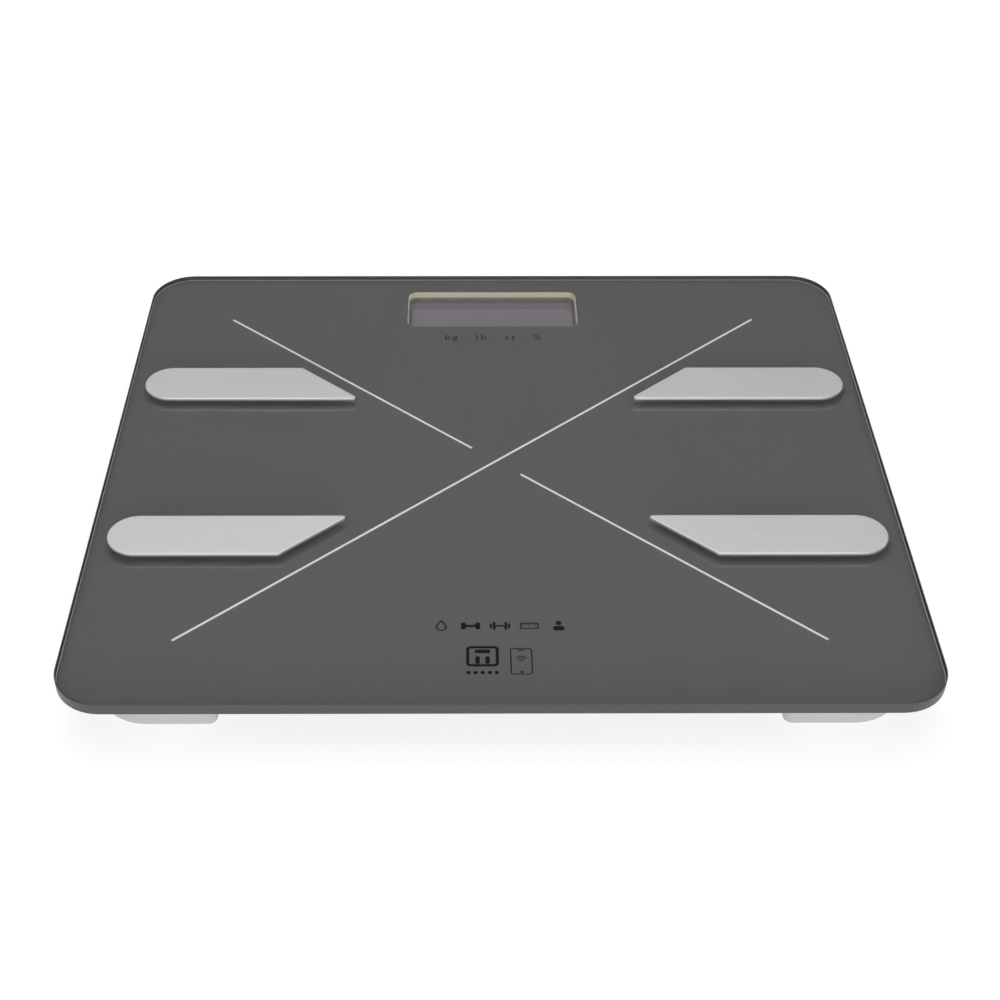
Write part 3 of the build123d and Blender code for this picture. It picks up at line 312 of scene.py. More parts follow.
@dataclass(frozen=True)
class ClearGlass(Finish):
    """Clear tempered plate with ground edges, which lets lamp light through to the print."""

    tint: Rgb = (0.992, 0.992, 0.992)
    edge: Rgb = (0.074, 0.074, 0.074)
    flatness: float = 0.95

    def cook(self, recipe: Recipe) -> None:
        """Refraction for the eye, a straight way through for lamp rays, and grey ground edges.

        Args:
            recipe: the material that is being made.
        """
        smudge = recipe.noise(28.0, 5.0)
        recipe.feed(
            Base_Color=recipe.blend(smudge, self.tint, shade(self.tint, 0.995)),
            Roughness=smudge * 0.012,
            IOR=1.52,
            Transmission_Weight=1.0,
        )
        clear = recipe.node("ShaderNodeBsdfTransparent", inputs={"Color": (0.95, 0.95, 0.95)})
        shadow = recipe.node("ShaderNodeLightPath", output="Is Shadow Ray")
        face = Wire(recipe, recipe.shader.outputs[0])
        body = recipe.node("ShaderNodeMixShader", inputs={0: shadow, 1: face, 2: clear})
        mixed = recipe.node(
            "ShaderNodeMixShader", inputs={0: self._edge_share(recipe), 1: body, 2: self._ground(recipe)}
        )
        recipe.connect(recipe.output.inputs["Surface"], mixed)

    def _edge_share(self, recipe: Recipe) -> Wire:
        """One on the sides and arrises, zero on the two broad faces.

        Args:
            recipe: the material that is being made.

        Returns:
            The share as a wire.
        """
        normal = recipe.node("ShaderNodeNewGeometry", output="Normal")
        up = recipe.node("ShaderNodeSeparateXYZ", inputs={0: normal}, output="Z")
        return self.flatness - up * up > 0.0

    def _ground(self, recipe: Recipe) -> Wire:
        """Finely ground grey glass."""
        grit = recipe.noise(1800.0, 3.0)
        return recipe.node(
            "ShaderNodeBsdfPrincipled",
            inputs={
                "Base Color": recipe.blend(grit, shade(self.edge, 0.92), shade(self.edge, 1.08)),
                "Roughness": 0.42 + (grit - 0.5) * 0.15,
            },
        )


@dataclass(frozen=True)
class PrintInk(Finish):
    """Screen-printed ink, with the faint mottle of a fine mesh."""

    colour: Rgb
    roughness: float = 0.55
    mottle: float = 0.05

    def cook(self, recipe: Recipe) -> None:
        """A fine mottle and a slow drift of tone.

        Args:
            recipe: the material that is being made.
        """
        fleck = recipe.noise(2200.0, 2.0)
        drift = recipe.noise(9.0, 2.0)
        half = self.mottle / 2
        base = recipe.blend(drift, shade(self.colour, 1 - half), shade(self.colour, 1 + half))
        recipe.feed(
            Base_Color=recipe.blend(fleck * 0.3, base, shade(self.colour, 1 - self.mottle)),
            Roughness=self.roughness + (fleck - 0.5) * 0.1,
        )
        recipe.feed(Specular_IOR_Level=0.0)


@dataclass(frozen=True)
class Rubber(Finish):
    """Soft rubber with a dusty bloom."""

    colour: Rgb

    def cook(self, recipe: Recipe) -> None:
        """Bloom in colour, pores in bump.

        Args:
            recipe: the material that is being made.
        """
        bloom = recipe.noise(120.0, 5.0)
        pores = recipe.noise(3200.0, 2.0)
        recipe.feed(
            Base_Color=recipe.blend(bloom, shade(self.colour, 0.8), shade(self.colour, 1.35)),
            Roughness=0.78 + (bloom - 0.5) * 0.2,
        )
        recipe.bump(pores, 0.4, 0.00004)


@dataclass(frozen=True)
class Foam(Finish):
    """Closed-cell adhesive foam."""

    colour: Rgb

    def cook(self, recipe: Recipe) -> None:
        """Open cells along the cut edges.

        Args:
            recipe: the material that is being made.
        """
        cells = recipe.node(
            "ShaderNodeTexVoronoi", inputs={"Vector": recipe.place(), "Scale": 2400.0}
        )
        recipe.feed(
            Base_Color=recipe.blend(cells, shade(self.colour, 0.75), self.colour), Roughness=0.85
        )
        recipe.bump(cells, 0.6, 0.0001)


@dataclass(frozen=True)
class Sleeve(Finish):
    """PVC sleeve of a lead, slightly wavy in gloss."""

    colour: Rgb

    def cook(self, recipe: Recipe) -> None:
        """A soft sheen with drag marks.

        Args:
            recipe: the material that is being made.
        """
        drag = recipe.noise(300.0, 3.0)
        recipe.feed(
            Base_Color=recipe.blend(drag, shade(self.colour, 0.9), shade(self.colour, 1.08)),
            Roughness=0.38 + (drag - 0.5) * 0.2,
        )
        recipe.bump(drag, 0.1, 0.00005)


@dataclass(frozen=True)
class BoardMask(Finish):
    """Solder resist over copper tracks."""

    resist: Rgb = (0.010, 0.130, 0.055)
    track: Rgb = (0.030, 0.260, 0.110)

    def cook(self, recipe: Recipe) -> None:
        """Straight tracks seen through the green resist.

        Args:
            recipe: the material that is being made.
        """
        tracks = recipe.node(
            "ShaderNodeTexBrick",
            {"offset": 0.5},
            {
                "Vector": recipe.place(),
                "Scale": 260.0,
                "Color1": self.resist,
                "Color2": shade(self.resist, 1.15),
                "Mortar": self.track,
                "Mortar Size": 0.05,
            },
        )
        weave = recipe.noise(1500.0, 2.0)
        recipe.feed(
            Base_Color=recipe.blend(weave * 0.2, tracks, shade(self.resist, 0.7)),
            Roughness=0.30 + (weave - 0.5) * 0.2,
        )
        recipe.bump(weave, 0.15, 0.00003)


@dataclass(frozen=True)
class CellWrap(Finish):
    """Foil sleeve of a dry cell: two colour bands and bare metal at both ends."""

    body: Rgb
    band: Rgb
    half_length: float
    centre: float
    way: float

    def cook(self, recipe: Recipe) -> None:
        """Bands by the distance along the cell.

        Args:
            recipe: the material that is being made.
        """
        spot = recipe.node("ShaderNodeSeparateXYZ", inputs={0: recipe.place()})
        along = (spot - self.centre) * self.way
        banded = recipe.blend(along > self.half_length * 0.42, self.body, self.band)
        bare = (along > self.half_length * 0.95) + (along * -1.0 > self.half_length * 0.97)
        scuff = recipe.noise(260.0, 5.0)
        recipe.feed(
            Base_Color=recipe.blend(bare, banded, (0.62, 0.62, 0.63)),
            Metallic=bare * 0.95,
            Roughness=0.22 + scuff * 0.18,
        )
        recipe.bump(scuff, 0.05, 0.00005)


@dataclass(frozen=True)
class DisplayGlass(Finish):
    """Unlit reflective display: a grey polariser under smooth glass."""

    colour: Rgb

    def cook(self, recipe: Recipe) -> None:
        """A slow grey-violet drift under a smooth surface."""
        drift = recipe.noise(60.0, 3.0)
        recipe.feed(
            Base_Color=recipe.blend(drift, shade(self.colour, 0.97), shade(self.colour, 1.03)),
            Roughness=0.05 + drift * 0.03,
            IOR=1.5,
        )


@dataclass(frozen=True)
class StripedRubber(Finish):
    """Elastomer connector: thin black conducting stripes in pale rubber."""

    def cook(self, recipe: Recipe) -> None:
        """Stripes across the strip's length."""
        stripes = recipe.node(
            "ShaderNodeTexWave",
            {"wave_type": "BANDS", "bands_direction": "X"},
            {"Vector": recipe.place(), "Scale": 900.0, "Distortion": 0.2},
        )
        recipe.feed(Base_Color=recipe.blend(stripes, (0.03, 0.03, 0.03), (0.72, 0.52, 0.52)), Roughness=0.6)


@dataclass(frozen=True)
class PaleFloor(Finish):
    """Pale studio floor, nearly white under soft light."""

    glow: float = 0.82
    colour: Rgb = (0.30, 0.30, 0.30)

    def cook(self, recipe: Recipe) -> None:
        """A matt floor with a low glow that keeps shadows faint.

        Args:
            recipe: the material that is being made.
        """
        haze = recipe.noise(3.0, 2.0)
        recipe.feed(
            Base_Color=recipe.blend(haze, self.colour, shade(self.colour, 1.01)),
            Roughness=0.95,
            Emission_Color=(1.0, 1.0, 1.0),
            Emission_Strength=self.glow,
        )
        recipe.feed(Specular_IOR_Level=0.0)


class Surface(Enum):
    """The finishes that the scale's own pieces are dressed in."""

    GLASS = ClearGlass("clear_glass")
    FIELD = PrintInk("grey_field_ink", (0.131, 0.130, 0.132))
    SILVER = PrintInk("silver_line_ink", (0.80, 0.80, 0.80), 0.45)
    MARK = PrintInk("dark_mark_ink", (0.010, 0.010, 0.011), 0.5)
    FAINT = PrintInk("faint_legend_ink", (0.014, 0.014, 0.015), 0.5)
    ELECTRODE = SatinMetal("satin_electrode", (0.92, 0.92, 0.915), 0.55)
    CELL_STEEL = Plated("nickelled_cell_steel", (0.58, 0.59, 0.61), 0.3)
    ZINC = Plated("zinc_plate", (0.64, 0.65, 0.68), 0.25)
    TIN = Plated("tinned_brass", (0.66, 0.60, 0.44), 0.3)
    NICKEL = Plated("nickel_wire", (0.70, 0.69, 0.66), 0.18)
    CAN = SatinMetal("shield_can", (0.66, 0.66, 0.67), 0.32, (600.0, 600.0, 600.0))
    FOOT = Moulded("foot_grey_abs", (0.64, 0.64, 0.64), 0.55)
    HOUSING = Moulded("housing_grey_abs", (0.54, 0.54, 0.54), 0.5)
    DOOR = Moulded("door_grey_abs", (0.52, 0.52, 0.52), 0.5)
    BUTTON = Moulded("button_charcoal_abs", (0.035, 0.035, 0.038), 0.45)
    NYLON = Moulded("natural_nylon", (0.72, 0.70, 0.63), 0.4)
    CREAM = Moulded("cream_frame", (0.84, 0.81, 0.66), 0.5)
    CHIP = Moulded("moulded_package", (0.022, 0.022, 0.024), 0.5, 4000.0)
    SEALANT = Moulded("white_sealant", (0.80, 0.80, 0.76), 0.35, 900.0)
    REFLECTOR = SatinMetal("reflector_film", (0.60, 0.60, 0.60), 0.5)
    SOLE = Rubber("sole_rubber", (0.060, 0.060, 0.062))
    FOAM = Foam("white_foam_tape", (0.80, 0.80, 0.78))
    WHITE_LEAD = Sleeve("white_sleeve", (0.72, 0.72, 0.70))
    RED_LEAD = Sleeve("red_sleeve", (0.46, 0.035, 0.030))
    BOARD = BoardMask("green_board")
    DISPLAY = DisplayGlass("unlit_display", (0.162, 0.140, 0.168))
    # Painted light: a lighter sheet on the display glass where light falls through the window.
    FILM_PAINTED_LIGHT = DisplayGlass("polariser_film_painted_light", (0.225, 0.215, 0.234))
    # Painted shade: a dark brown strip round the foot of the display recess, where shade falls.
    GASKET_PAINTED_SHADE = Rubber("brown_gasket_painted_shade", (0.30, 0.27, 0.21))
    ZEBRA = StripedRubber("striped_elastomer")
    FLOOR = PaleFloor("pale_floor")


class Wardrobe:
    """Makes each finish once and dresses objects in it."""

    def __init__(self) -> None:
        """Starts with no material made."""
        self._made: dict[str, bpy.types.Material] = {}

    def material(self, finish: Finish) -> bpy.types.Material:
        """The material of a finish, made when it is first asked for."""
        if finish.name not in self._made:
            self._made[finish.name] = finish.make()
        return self._made[finish.name]

    def dress(self, piece: bpy.types.Object, finish: Union[Surface, Finish]) -> bpy.types.Object:
        """Puts one finish on every face of an object.

        Args:
            piece: the piece to dress.
            finish: what it is dressed in.

        Returns:
            The same object.
        """
        chosen = finish.value if isinstance(finish, Surface) else finish
        piece.data.materials.clear()
        piece.data.materials.append(self.material(chosen))
        return piece

    def dress_node(self, frame: dict[str, Any], node: str, finish: Union[Surface, Finish]) -> None:
        """Gives a CAD node its finish and reports it."""
        self.dress(frame["nodes"][node], finish)
        log.info("dressed %s", node)


# ---------------------------------------------------------------- mesh tools


class Sheet:
    """A bmesh on which flat shapes are drawn, and which is then given its thickness."""

    def __init__(self, height: float) -> None:
        """Starts an empty sheet whose underside is at that height."""
        self.mesh = bmesh.new()
        self.height = height

    def _spot(self, x: float, y: float) -> Matrix:
        """A move to a place on the sheet."""
        return Matrix.Translation((x, y, self.height))

    def disc(self, x: float, y: float, radius: float) -> None:
        """A filled circle."""
        bmesh.ops.create_circle(
            self.mesh, cap_ends=True, segments=32, radius=radius, matrix=self._spot(x, y)
        )

    def bar(
        self, x: float, y: float, width: float, depth: float, corner: float = 0.0, turn: float = 0.0
    ) -> None:
        """A filled rectangle with round corners, turned about its middle.

        Args:
            x: middle of the shape, from left to right.
            y: middle of the shape, from front to back.
            width: size from left to right.
            depth: size from front to back.
            corner: radius of its corners.
            turn: turn about its middle, in radians.
        """
        made = bmesh.ops.create_grid(self.mesh, x_segments=1, y_segments=1, size=0.5)
        matrix = self._spot(x, y) @ Matrix.Rotation(turn, 4, "Z") @ Matrix.Diagonal((width, depth, 1, 1))
        bmesh.ops.transform(self.mesh, matrix=matrix, verts=made["verts"])
        if corner:
            self._round(made["verts"], corner)

    def _round(self, verts: Iterable[bmesh.types.BMVert], corner: float) -> None:
        """Rounds the corners of one flat face."""
        bmesh.ops.bevel(
            self.mesh, geom=list(verts), offset=corner, offset_type="OFFSET", segments=6,
            profile=0.5, affect="VERTICES", material=-1,
        )

    def frame(self, x: float, y: float, width: float, depth: float, corner: float, line: float) -> None:
        """The outline of a rounded rectangle, drawn with a line of that width.

        Args:
            x: middle of the shape, from left to right.
            y: middle of the shape, from front to back.
            width: size from left to right.
            depth: size from front to back.
            corner: radius of its corners.
            line: width of the drawn line.
        """
        before = set(self.mesh.faces)
        self.bar(x, y, width, depth, corner)
        outer = [face for face in self.mesh.faces if face not in before]
        rim = bmesh.ops.inset_region(
            self.mesh, faces=outer, thickness=line, use_boundary=True, use_even_offset=True
        )
        inner = [face for face in outer if face.is_valid and face not in rim["faces"]]
        bmesh.ops.delete(self.mesh, geom=inner, context="FACES")

    def arc(self, x: float, y: float, radius: float, line: float, start: float, sweep: float) -> None:
        """A ring or a part of one, as wide as the line.

        Args:
            x: middle of the shape, from left to right.
            y: middle of the shape, from front to back.
            radius: radius of the shape.
            line: width of the drawn line.
            start: angle of the first end, in radians.
            sweep: angle from there to the other end.
        """
        reach = Vector((math.cos(start), math.sin(start), 0.0))
        ends = [
            self.mesh.verts.new(Vector((x, y, self.height)) + reach * (radius + way * line / 2))
            for way in (-1, 1)
        ]
        edge = self.mesh.edges.new(ends)
        full = abs(sweep) > 2 * math.pi - 0.001
        bmesh.ops.spin(
            self.mesh, geom=[*ends, edge], cent=(x, y, self.height), axis=(0, 0, 1),
            angle=sweep, steps=max(6, int(abs(sweep) * 8)), use_merge=full,
        )

    def finish(self, name: str, thickness: float) -> bpy.types.Object:
        """Thickens what was drawn and gives it as a linked object.

        Args:
            name: the object's name.
            thickness: how far the drawn shapes are raised.

        Returns:
            The linked object.
        """
        bmesh.ops.recalc_face_normals(self.mesh, faces=self.mesh.faces)
        for face in self.mesh.faces:
            if face.normal.z < 0:
                face.normal_flip()
        raised = bmesh.ops.extrude_face_region(self.mesh, geom=self.mesh.faces[:], use_keep_orig=True)
        top = [part for part in raised["geom"] if isinstance(part, bmesh.types.BMVert)]
        bmesh.ops.translate(self.mesh, verts=top, vec=(0, 0, thickness))
        bmesh.ops.recalc_face_normals(self.mesh, faces=self.mesh.faces)
        return link_mesh(name, self.mesh)


def link_mesh(name: str, mesh: bmesh.types.BMesh) -> bpy.types.Object:
    """Turns a bmesh into a linked object at the origin and frees it.

    Args:
        name: the object's name.
        mesh: the mesh to link, which is freed.

    Returns:
        The linked object.
    """
    data = bpy.data.meshes.new(name)
    mesh.to_mesh(data)
    mesh.free()
    made = bpy.data.objects.new(name, data)
    bpy.context.scene.collection.objects.link(made)
    return made


def flat_text(
    name: str, words: str, size: float, spacing: float, x: float, y: float, low: float, thick: float
) -> bpy.types.Object:
    """A line of plain lettering as a thin mesh, centred on a place.

    Args:
        name: the object's name.
        words: what it says.
        size: letter height scale, in metres.
        spacing: letter spacing, 1 for normal.
        x: middle of the line.
        y: its base line.
        low: height of its underside.
        thick: its thickness.

    Returns:
        The linked object.
    """
    curve = bpy.data.curves.new(name, "FONT")
    curve.body = words
    curve.size = size
    curve.space_character = spacing
    curve.align_x = "CENTER"
    curve.resolution_u = 3
    holder = bpy.data.objects.new(name + "_outline", curve)
    bpy.context.scene.collection.objects.link(holder)
    data = bpy.data.meshes.new_from_object(holder)
    bpy.data.objects.remove(holder)
    mesh = bmesh.new()
    mesh.from_mesh(data)
    bpy.data.meshes.remove(data)
    bmesh.ops.remove_doubles(mesh, verts=mesh.verts, dist=size * 0.001)
    bmesh.ops.translate(mesh, verts=mesh.verts, vec=(x, y, low))
    raised = bmesh.ops.extrude_face_region(mesh, geom=mesh.faces[:], use_keep_orig=True)
    top = [part for part in raised["geom"] if isinstance(part, bmesh.types.BMVert)]
    bmesh.ops.translate(mesh, verts=top, vec=(0, 0, thick))
    bmesh.ops.recalc_face_normals(mesh, faces=mesh.faces)
    return link_mesh(name, mesh)


# ---------------------------------------------------------------- sub-assemblies


@dataclass
class SubAssembly:
    """Shared by every sub-assembly: the frame it is built round and the wardrobe."""

    frame: dict[str, Any]
    wardrobe: Wardrobe

    def dress(self, finish: Union[Surface, Finish], *nodes: str) -> None:
        """Dresses CAD nodes in one finish."""
        for node in nodes:
            self.wardrobe.dress_node(self.frame, node, finish)

    def add(
        self, piece: bpy.types.Object, finish: Union[Surface, Finish], body: str, slot: str
    ) -> bpy.types.Object:
        """Dresses a new piece and ties it to a body.

        Args:
            piece: the piece to dress.
            finish: what it is dressed in.
            body: the body that it rides on.
            slot: not used.

        Returns:
            The same piece.
        """
        self.wardrobe.dress(piece, finish)
        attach(piece, body)
        log.info("added %s", piece.name)
        return piece


@dataclass
class Platform(SubAssembly):
    """Glass plate, the print under it, the marks in the print and the electrodes."""

    mark_gap: float = 0.040 * MM
    mark_thickness: float = 0.010 * MM
    legend: str = "kg · lb · st · %"
    legend_size: float = 5.4 * MM
    legend_spacing: float = 1.3
    legend_below_window: float = 6.9 * MM
    row_from_front: float = 39.0 * MM
    row_pitch: float = 10.2 * MM
    group_from_front: float = 23.0 * MM
    line: float = 0.55 * MM

    def build(self) -> None:
        """Dresses the plate and draws its marks."""
        self.dress(Surface.GLASS, "glass_platform")
        self.dress(Surface.FIELD, "ink_layer")
        self.dress(Surface.SILVER, "diagonal_lines")
        self.dress(Surface.ELECTRODE, *(f"electrode_{corner}" for corner in CORNERS))
        self.dress(Surface.NYLON, "stud_bushes")
        self.dress(Surface.TIN, "ring_terminals")
        self.dress(Surface.ZINC, "stud_nuts")
        self.add_legend()
        self.add_body_row()
        self.add_app_group()

    @property
    def mark_height(self) -> float:
        """Underside of the marks, just under the glass."""
        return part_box("glass_platform")[0].z - self.mark_gap

    @property
    def front(self) -> float:
        """The plate's front edge."""
        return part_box("glass_platform")[0].y

    def add_legend(self) -> None:
        """The weighing units, in small dark print under the window."""
        window_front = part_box("lcd_bezel")[0].y
        piece = flat_text(
            "unit_legend", self.legend, self.legend_size, self.legend_spacing, 0.0,
            window_front - self.legend_below_window, self.mark_height, self.mark_thickness,
        )
        self.add(piece, Surface.FAINT, "platform", "grey_print")

    def add_body_row(self) -> None:
        """Five small pictures of what such a scale reads: water, bone, strength, height, person."""
        sheet = Sheet(self.mark_height)
        y = self.front + self.row_from_front
        draw = (self.draw_drop, self.draw_bone, self.draw_dumbbell, self.draw_ruler, self.draw_person)
        for index, picture in enumerate(draw):
            picture(sheet, (index - 2) * self.row_pitch, y)
        piece = sheet.finish("body_reading_marks", self.mark_thickness)
        self.add(piece, Surface.MARK, "platform", "grey_print")

    def draw_drop(self, sheet: Sheet, x: float, y: float) -> None:
        """A ring with a pointed top."""
        sheet.arc(x, y - 0.5 * MM, 1.7 * MM, self.line, math.radians(125), math.radians(290))
        for way in (-1, 1):
            lean = way * math.radians(33)
            sheet.bar(x + way * 0.62 * MM, y + 1.75 * MM, self.line, 2.3 * MM, 0.1 * MM, lean)

    def draw_bone(self, sheet: Sheet, x: float, y: float) -> None:
        """A shaft with two knobs at each end."""
        sheet.bar(x, y, 4.6 * MM, 1.1 * MM)
        for way in (-1, 1):
            for side in (-1, 1):
                sheet.disc(x + way * 2.5 * MM, y + side * 0.75 * MM, 0.95 * MM)

    def draw_dumbbell(self, sheet: Sheet, x: float, y: float) -> None:
        """A bar with two plates at each end."""
        sheet.bar(x, y, 4.0 * MM, 0.8 * MM)
        for way in (-1, 1):
            sheet.bar(x + way * 2.0 * MM, y, 0.9 * MM, 3.8 * MM, 0.2 * MM)
            sheet.bar(x + way * 3.1 * MM, y, 0.8 * MM, 2.4 * MM, 0.2 * MM)

    def draw_ruler(self, sheet: Sheet, x: float, y: float) -> None:
        """A framed ruler with its ticks."""
        sheet.frame(x, y, 6.6 * MM, 3.0 * MM, 0.4 * MM, self.line * 0.8)
        for step in range(-2, 3):
            length = (1.4 if step % 2 == 0 else 0.8) * MM
            sheet.bar(x + step * 1.15 * MM, y + 1.1 * MM - length / 2, 0.35 * MM, length)

    def draw_person(self, sheet: Sheet, x: float, y: float) -> None:
        """A head over round shoulders."""
        sheet.disc(x, y + 1.35 * MM, 1.05 * MM)
        sheet.bar(x, y - 1.2 * MM, 4.0 * MM, 2.2 * MM, 1.0 * MM)

    def add_app_group(self) -> None:
        """A picture of a scale beside a picture of a phone that sends to it."""
        sheet = Sheet(self.mark_height)
        y = self.front + self.group_from_front
        left = -6.2 * MM
        sheet.frame(left, y + 1.4 * MM, 11.2 * MM, 9.6 * MM, 1.6 * MM, 1.1 * MM)
        sheet.bar(left, y + 3.7 * MM, 5.2 * MM, 1.7 * MM, 0.4 * MM)
        for way in (-1, 1):
            sheet.bar(left + way * 1.7 * MM, y - 0.4 * MM, 1.5 * MM, 3.6 * MM, 0.7 * MM)
        for step in range(-2, 3):
            sheet.disc(left + step * 2.4 * MM, y - 6.2 * MM, 0.75 * MM)
        right = 7.0 * MM
        sheet.frame(right, y - 1.0 * MM, 7.6 * MM, 12.4 * MM, 1.2 * MM, 0.45 * MM)
        sheet.bar(right, y + 4.2 * MM, 2.4 * MM, 0.5 * MM, 0.2 * MM)
        sheet.disc(right, y - 6.0 * MM, 0.5 * MM)
        for ring in range(3):
            reach = (0.9 + ring) * MM
            sheet.arc(right, y - 1.6 * MM, reach, 0.4 * MM, math.radians(50), math.radians(80))
        piece = sheet.finish("phone_link_marks", self.mark_thickness)
        self.add(piece, Surface.MARK, "platform", "grey_print")


@dataclass
class Feet(SubAssembly):
    """The four sprung feet and their load cells."""

    def build(self) -> None:
        """Dresses every foot from the glass down."""
        self.dress(Surface.FOAM, "foot_pads")
        self.dress(Surface.ZINC, "cell_screws")
        self.dress(Surface.SEALANT, "strain_gauges")
        for corner in CORNERS:
            self.dress(Surface.FOOT, f"foot_housing_{corner}", f"foot_cup_{corner}")
            self.dress(Surface.SOLE, f"foot_sole_{corner}")
            self.dress(Surface.CELL_STEEL, f"load_cell_{corner}")


@dataclass
class Wiring(SubAssembly):
    """Ducts and leads."""

    def build(self) -> None:
        """Dresses ducts and leads."""
        for corner in CORNERS:
            self.dress(Surface.HOUSING, f"cable_duct_{corner}")
            self.dress(Surface.WHITE_LEAD, f"load_cell_lead_{corner}")
        self.dress(Surface.RED_LEAD, "electrode_leads", "battery_leads")


@dataclass
class Display(SubAssembly):
    """The display glass, a lighter sheet of painted light on it, a dark strip of painted shade round it and
    the cream frame of its recess.
    """

    window_width: float = 73.6 * MM
    window_depth: float = 26.8 * MM
    # Sizes of the lighter sheet of painted light; its wide back gap leaves bare display glass as painted
    # shade.
    painted_light_thickness: float = 0.12 * MM
    painted_corner: float = 3.0 * MM
    painted_light_side_gap: float = 1.4 * MM
    painted_light_front_gap: float = 0.8 * MM
    painted_shade_back_gap: float = 7.2 * MM
    # Sizes of the dark strip of painted shade round the foot of the recess.
    painted_shade_height: float = 1.5 * MM
    painted_shade_line: float = 0.35 * MM
    # Lift of both painted pieces above the display glass, and the inset of the strip of painted shade.
    painted_gap: float = 0.05 * MM

    def build(self) -> None:
        """Dresses the display's layers and adds the painted light and painted shade that lie on the display
        glass.
        """
        self.dress(Surface.CREAM, "lcd_bezel")
        self.dress(Surface.DISPLAY, "lcd_glass")
        self.dress(Surface.REFLECTOR, "lcd_reflector")
        self.dress(Surface.ZEBRA, "lcd_connectors")
        self.add_film_painted_light()
        self.add_gasket_painted_shade()

    def opening(self) -> tuple[Vector, Vector]:
        """Lowest and highest corner of the opening that the frame leaves over the display.

        Returns:
            The two corners.
        """
        low, high = (corner.copy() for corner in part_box("lcd_bezel"))
        side = (high.x - low.x - self.window_width) / 2
        rim = Vector((side, (high.y - low.y - self.window_depth) / 2, 0))
        return low + rim, high - rim

    def add_film_painted_light(self) -> None:
        """Painted light: a lighter round-cornered sheet over the front of the display glass, where light
        falls through the window; the wide gap at the back leaves bare glass as painted shade under the
        frame's back edge.
        """
        low, high = self.opening()
        front = low.y + self.painted_light_front_gap
        back = high.y - self.painted_shade_back_gap
        sheet = Sheet(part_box("lcd_glass")[1].z + self.painted_gap)
        sheet.bar(
            (low.x + high.x) / 2, (front + back) / 2,
            high.x - low.x - 2 * self.painted_light_side_gap, back - front, self.painted_corner,
        )
        piece = sheet.finish("display_film_painted_light", self.painted_light_thickness)
        self.add(piece, Surface.FILM_PAINTED_LIGHT, "platform", "lcd_glass")

    def add_gasket_painted_shade(self) -> None:
        """Painted shade: a dark strip round the foot of the frame on the display glass, where shade falls.
        """
        low, high = self.opening()
        sheet = Sheet(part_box("lcd_glass")[1].z + self.painted_gap)
        sheet.frame(
            (low.x + high.x) / 2, (low.y + high.y) / 2,
            high.x - low.x - 2 * self.painted_gap, high.y - low.y - 2 * self.painted_gap,
            self.painted_corner, self.painted_shade_line,
        )
        piece = sheet.finish("display_gasket_painted_shade", self.painted_shade_height)
        self.add(piece, Surface.GASKET_PAINTED_SHADE, "platform", "foam_tape")


@dataclass
class Electronics(SubAssembly):
    """The housing under the display, its board, cells, door and button."""

    battery_count: int = 3

    def build(self) -> None:
        """Dresses the housing and what it holds."""
        self.dress(Surface.HOUSING, "housing_frame", "housing_cover")
        self.dress(Surface.DOOR, "battery_door")
        self.dress(Surface.BUTTON, "unit_button", "switch_plunger")
        self.dress(Surface.FOAM, "frame_pad")
        self.dress(Surface.ZINC, "cover_screws")
        self.dress(Surface.BOARD, "circuit_board")
        self.dress(Surface.CHIP, "main_chip", "unit_switch", "board_components")
        self.dress(Surface.CAN, "wireless_module")
        self.dress(Surface.NICKEL, "battery_springs", "battery_contacts")
        for index in range(self.battery_count):
            self.dress_battery(f"battery_{index + 1}", 1.0 if index % 2 == 0 else -1.0)

    def dress_battery(self, node: str, way: float) -> None:
        """Gives a dry cell its foil sleeve, with the band towards its positive end.

        Args:
            node: the CAD node to dress.
            way: 1 or -1, for the way that it points.
        """
        low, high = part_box(node)
        sleeve = CellWrap(
            f"{node}_sleeve", (0.030, 0.032, 0.036), (0.48, 0.30, 0.06),
            (high.x - low.x) / 2, (high.x + low.x) / 2, way,
        )
        self.dress(sleeve, node)


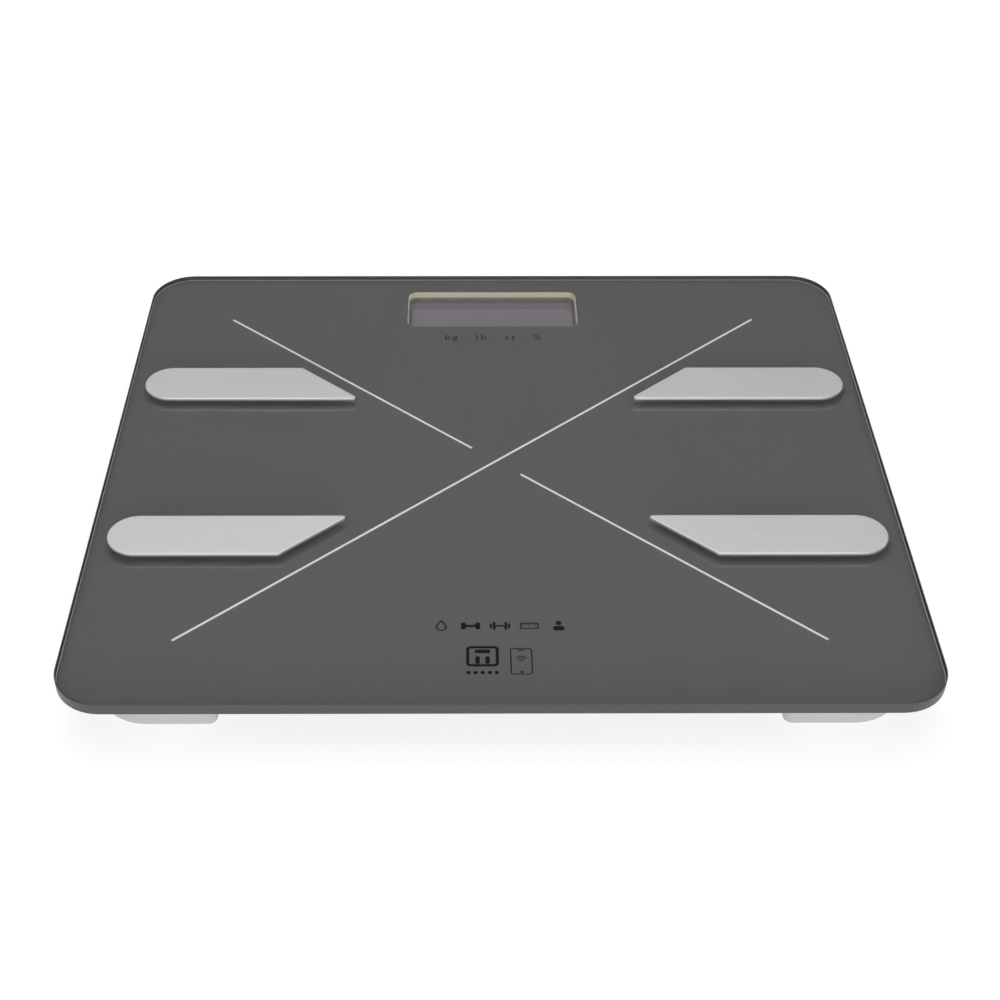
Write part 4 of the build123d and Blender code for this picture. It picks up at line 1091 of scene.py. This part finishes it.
@dataclass
class Studio:
    """Floor, light and camera."""

    wardrobe: Wardrobe
    floor_size: float = 6.0
    floor_drop: float = 0.0001
    dome_strength: float = 1.45
    dome_low: Rgb = (0.035, 0.035, 0.035)
    dome_foot: float = 0.74
    dome_head: float = 0.90
    key_power: float = 8.0
    key_size: float = 1.2
    key_spot: Rgb = (-0.25, 0.85, 2.6)
    fill_power: float = 21.0
    fill_size: float = 1.6
    fill_spot: Rgb = (0.15, -2.4, 0.75)
    eye: Rgb = (-0.0119, -0.4926, 0.4175)
    pitch: float = math.radians(40.24)
    yaw: float = math.radians(0.298)
    roll: float = math.radians(0.118)
    lens: float = 58.37
    shift_x: float = 0.0280

    def build(self) -> None:
        """Sets the whole studio."""
        self.lay_floor()
        self.hang_dome()
        self.hang_lamp("soft_key", self.key_spot, self.key_size, self.key_power)
        self.hang_lamp("soft_fill", self.fill_spot, self.fill_size, self.fill_power)
        self.place_camera()
        bpy.context.scene.view_settings.view_transform = "Standard"
        bpy.context.scene.view_settings.look = "None"

    def lay_floor(self) -> None:
        """One large pale disc."""
        mesh = bmesh.new()
        bmesh.ops.create_circle(
            mesh, cap_ends=True, segments=96, radius=self.floor_size,
            matrix=Matrix.Translation((0, 0, -self.floor_drop)),
        )
        floor = self.wardrobe.dress(link_mesh("studio_floor", mesh), Surface.FLOOR)

    def hang_dome(self) -> None:
        """A soft overhead dome: bright above, dim towards the horizon, white to the eye."""
        world = bpy.data.worlds.new("soft_dome")
        bpy.context.scene.world = world
        world.use_nodes = True
        nodes, links = world.node_tree.nodes, world.node_tree.links
        way = nodes.new("ShaderNodeTexCoord")
        split = nodes.new("ShaderNodeSeparateXYZ")
        ramp = nodes.new("ShaderNodeValToRGB")
        ramp.color_ramp.interpolation = "EASE"
        for element, place, colour in zip(
            ramp.color_ramp.elements, (self.dome_foot, self.dome_head), (self.dome_low, (1.0, 1.0, 1.0))
        ):
            element.position = place
            element.color = (*colour, 1.0)
        dome = nodes["Background"]
        dome.inputs["Strength"].default_value = self.dome_strength
        seen = nodes.new("ShaderNodeBackground")
        seen.inputs["Color"].default_value = (1.0, 1.0, 1.0, 1.0)
        eye = nodes.new("ShaderNodeLightPath")
        mix = nodes.new("ShaderNodeMixShader")
        links.new(way.outputs["Generated"], split.inputs[0])
        links.new(split.outputs["Z"], ramp.inputs["Fac"])
        links.new(ramp.outputs["Color"], dome.inputs["Color"])
        links.new(eye.outputs["Is Camera Ray"], mix.inputs[0])
        links.new(dome.outputs[0], mix.inputs[1])
        links.new(seen.outputs[0], mix.inputs[2])
        links.new(mix.outputs[0], nodes["World Output"].inputs["Surface"])

    def hang_lamp(self, name: str, spot: Rgb, size: float, power: float) -> None:
        """A large soft disc lamp that looks at the scale.

        Args:
            name: the object's name.
            spot: where it hangs.
            size: its diameter.
            power: its power in watts.
        """
        lamp = bpy.data.lights.new(name, "AREA")
        lamp.shape = "DISK"
        lamp.size = size
        lamp.energy = power
        holder = bpy.data.objects.new(name, lamp)
        bpy.context.scene.collection.objects.link(holder)
        turn = (-Vector(spot)).to_track_quat("-Z", "Y").to_matrix().to_4x4()
        holder.matrix_world = Matrix.Translation(spot) @ turn

    def place_camera(self) -> None:
        """The standing user's view, looking down at the plate from the front."""
        camera = bpy.data.cameras.new("user_view")
        camera.sensor_width = 36.0
        camera.lens = self.lens
        camera.shift_x = self.shift_x
        camera.clip_start = 0.01
        camera.clip_end = 50.0
        holder = bpy.data.objects.new("user_view", camera)
        bpy.context.scene.collection.objects.link(holder)
        gaze = Vector((
            math.sin(self.yaw) * math.cos(self.pitch),
            math.cos(self.yaw) * math.cos(self.pitch),
            -math.sin(self.pitch),
        ))
        turn = gaze.to_track_quat("-Z", "Y").to_matrix().to_4x4()
        holder.matrix_world = Matrix.Translation(self.eye) @ turn @ Matrix.Rotation(self.roll, 4, "Z")
        bpy.context.scene.camera = holder


def main() -> None:
    """Builds the whole scene in order."""
    logging.basicConfig(level=logging.INFO, format="%(name)s: %(message)s")
    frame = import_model()
    wardrobe = Wardrobe()
    Studio(wardrobe).build()
    for part in (Platform, Feet, Wiring, Display, Electronics):
        part(frame, wardrobe).build()
        log.info("built %s", part.__name__)


if __name__ == "__main__":
    main()
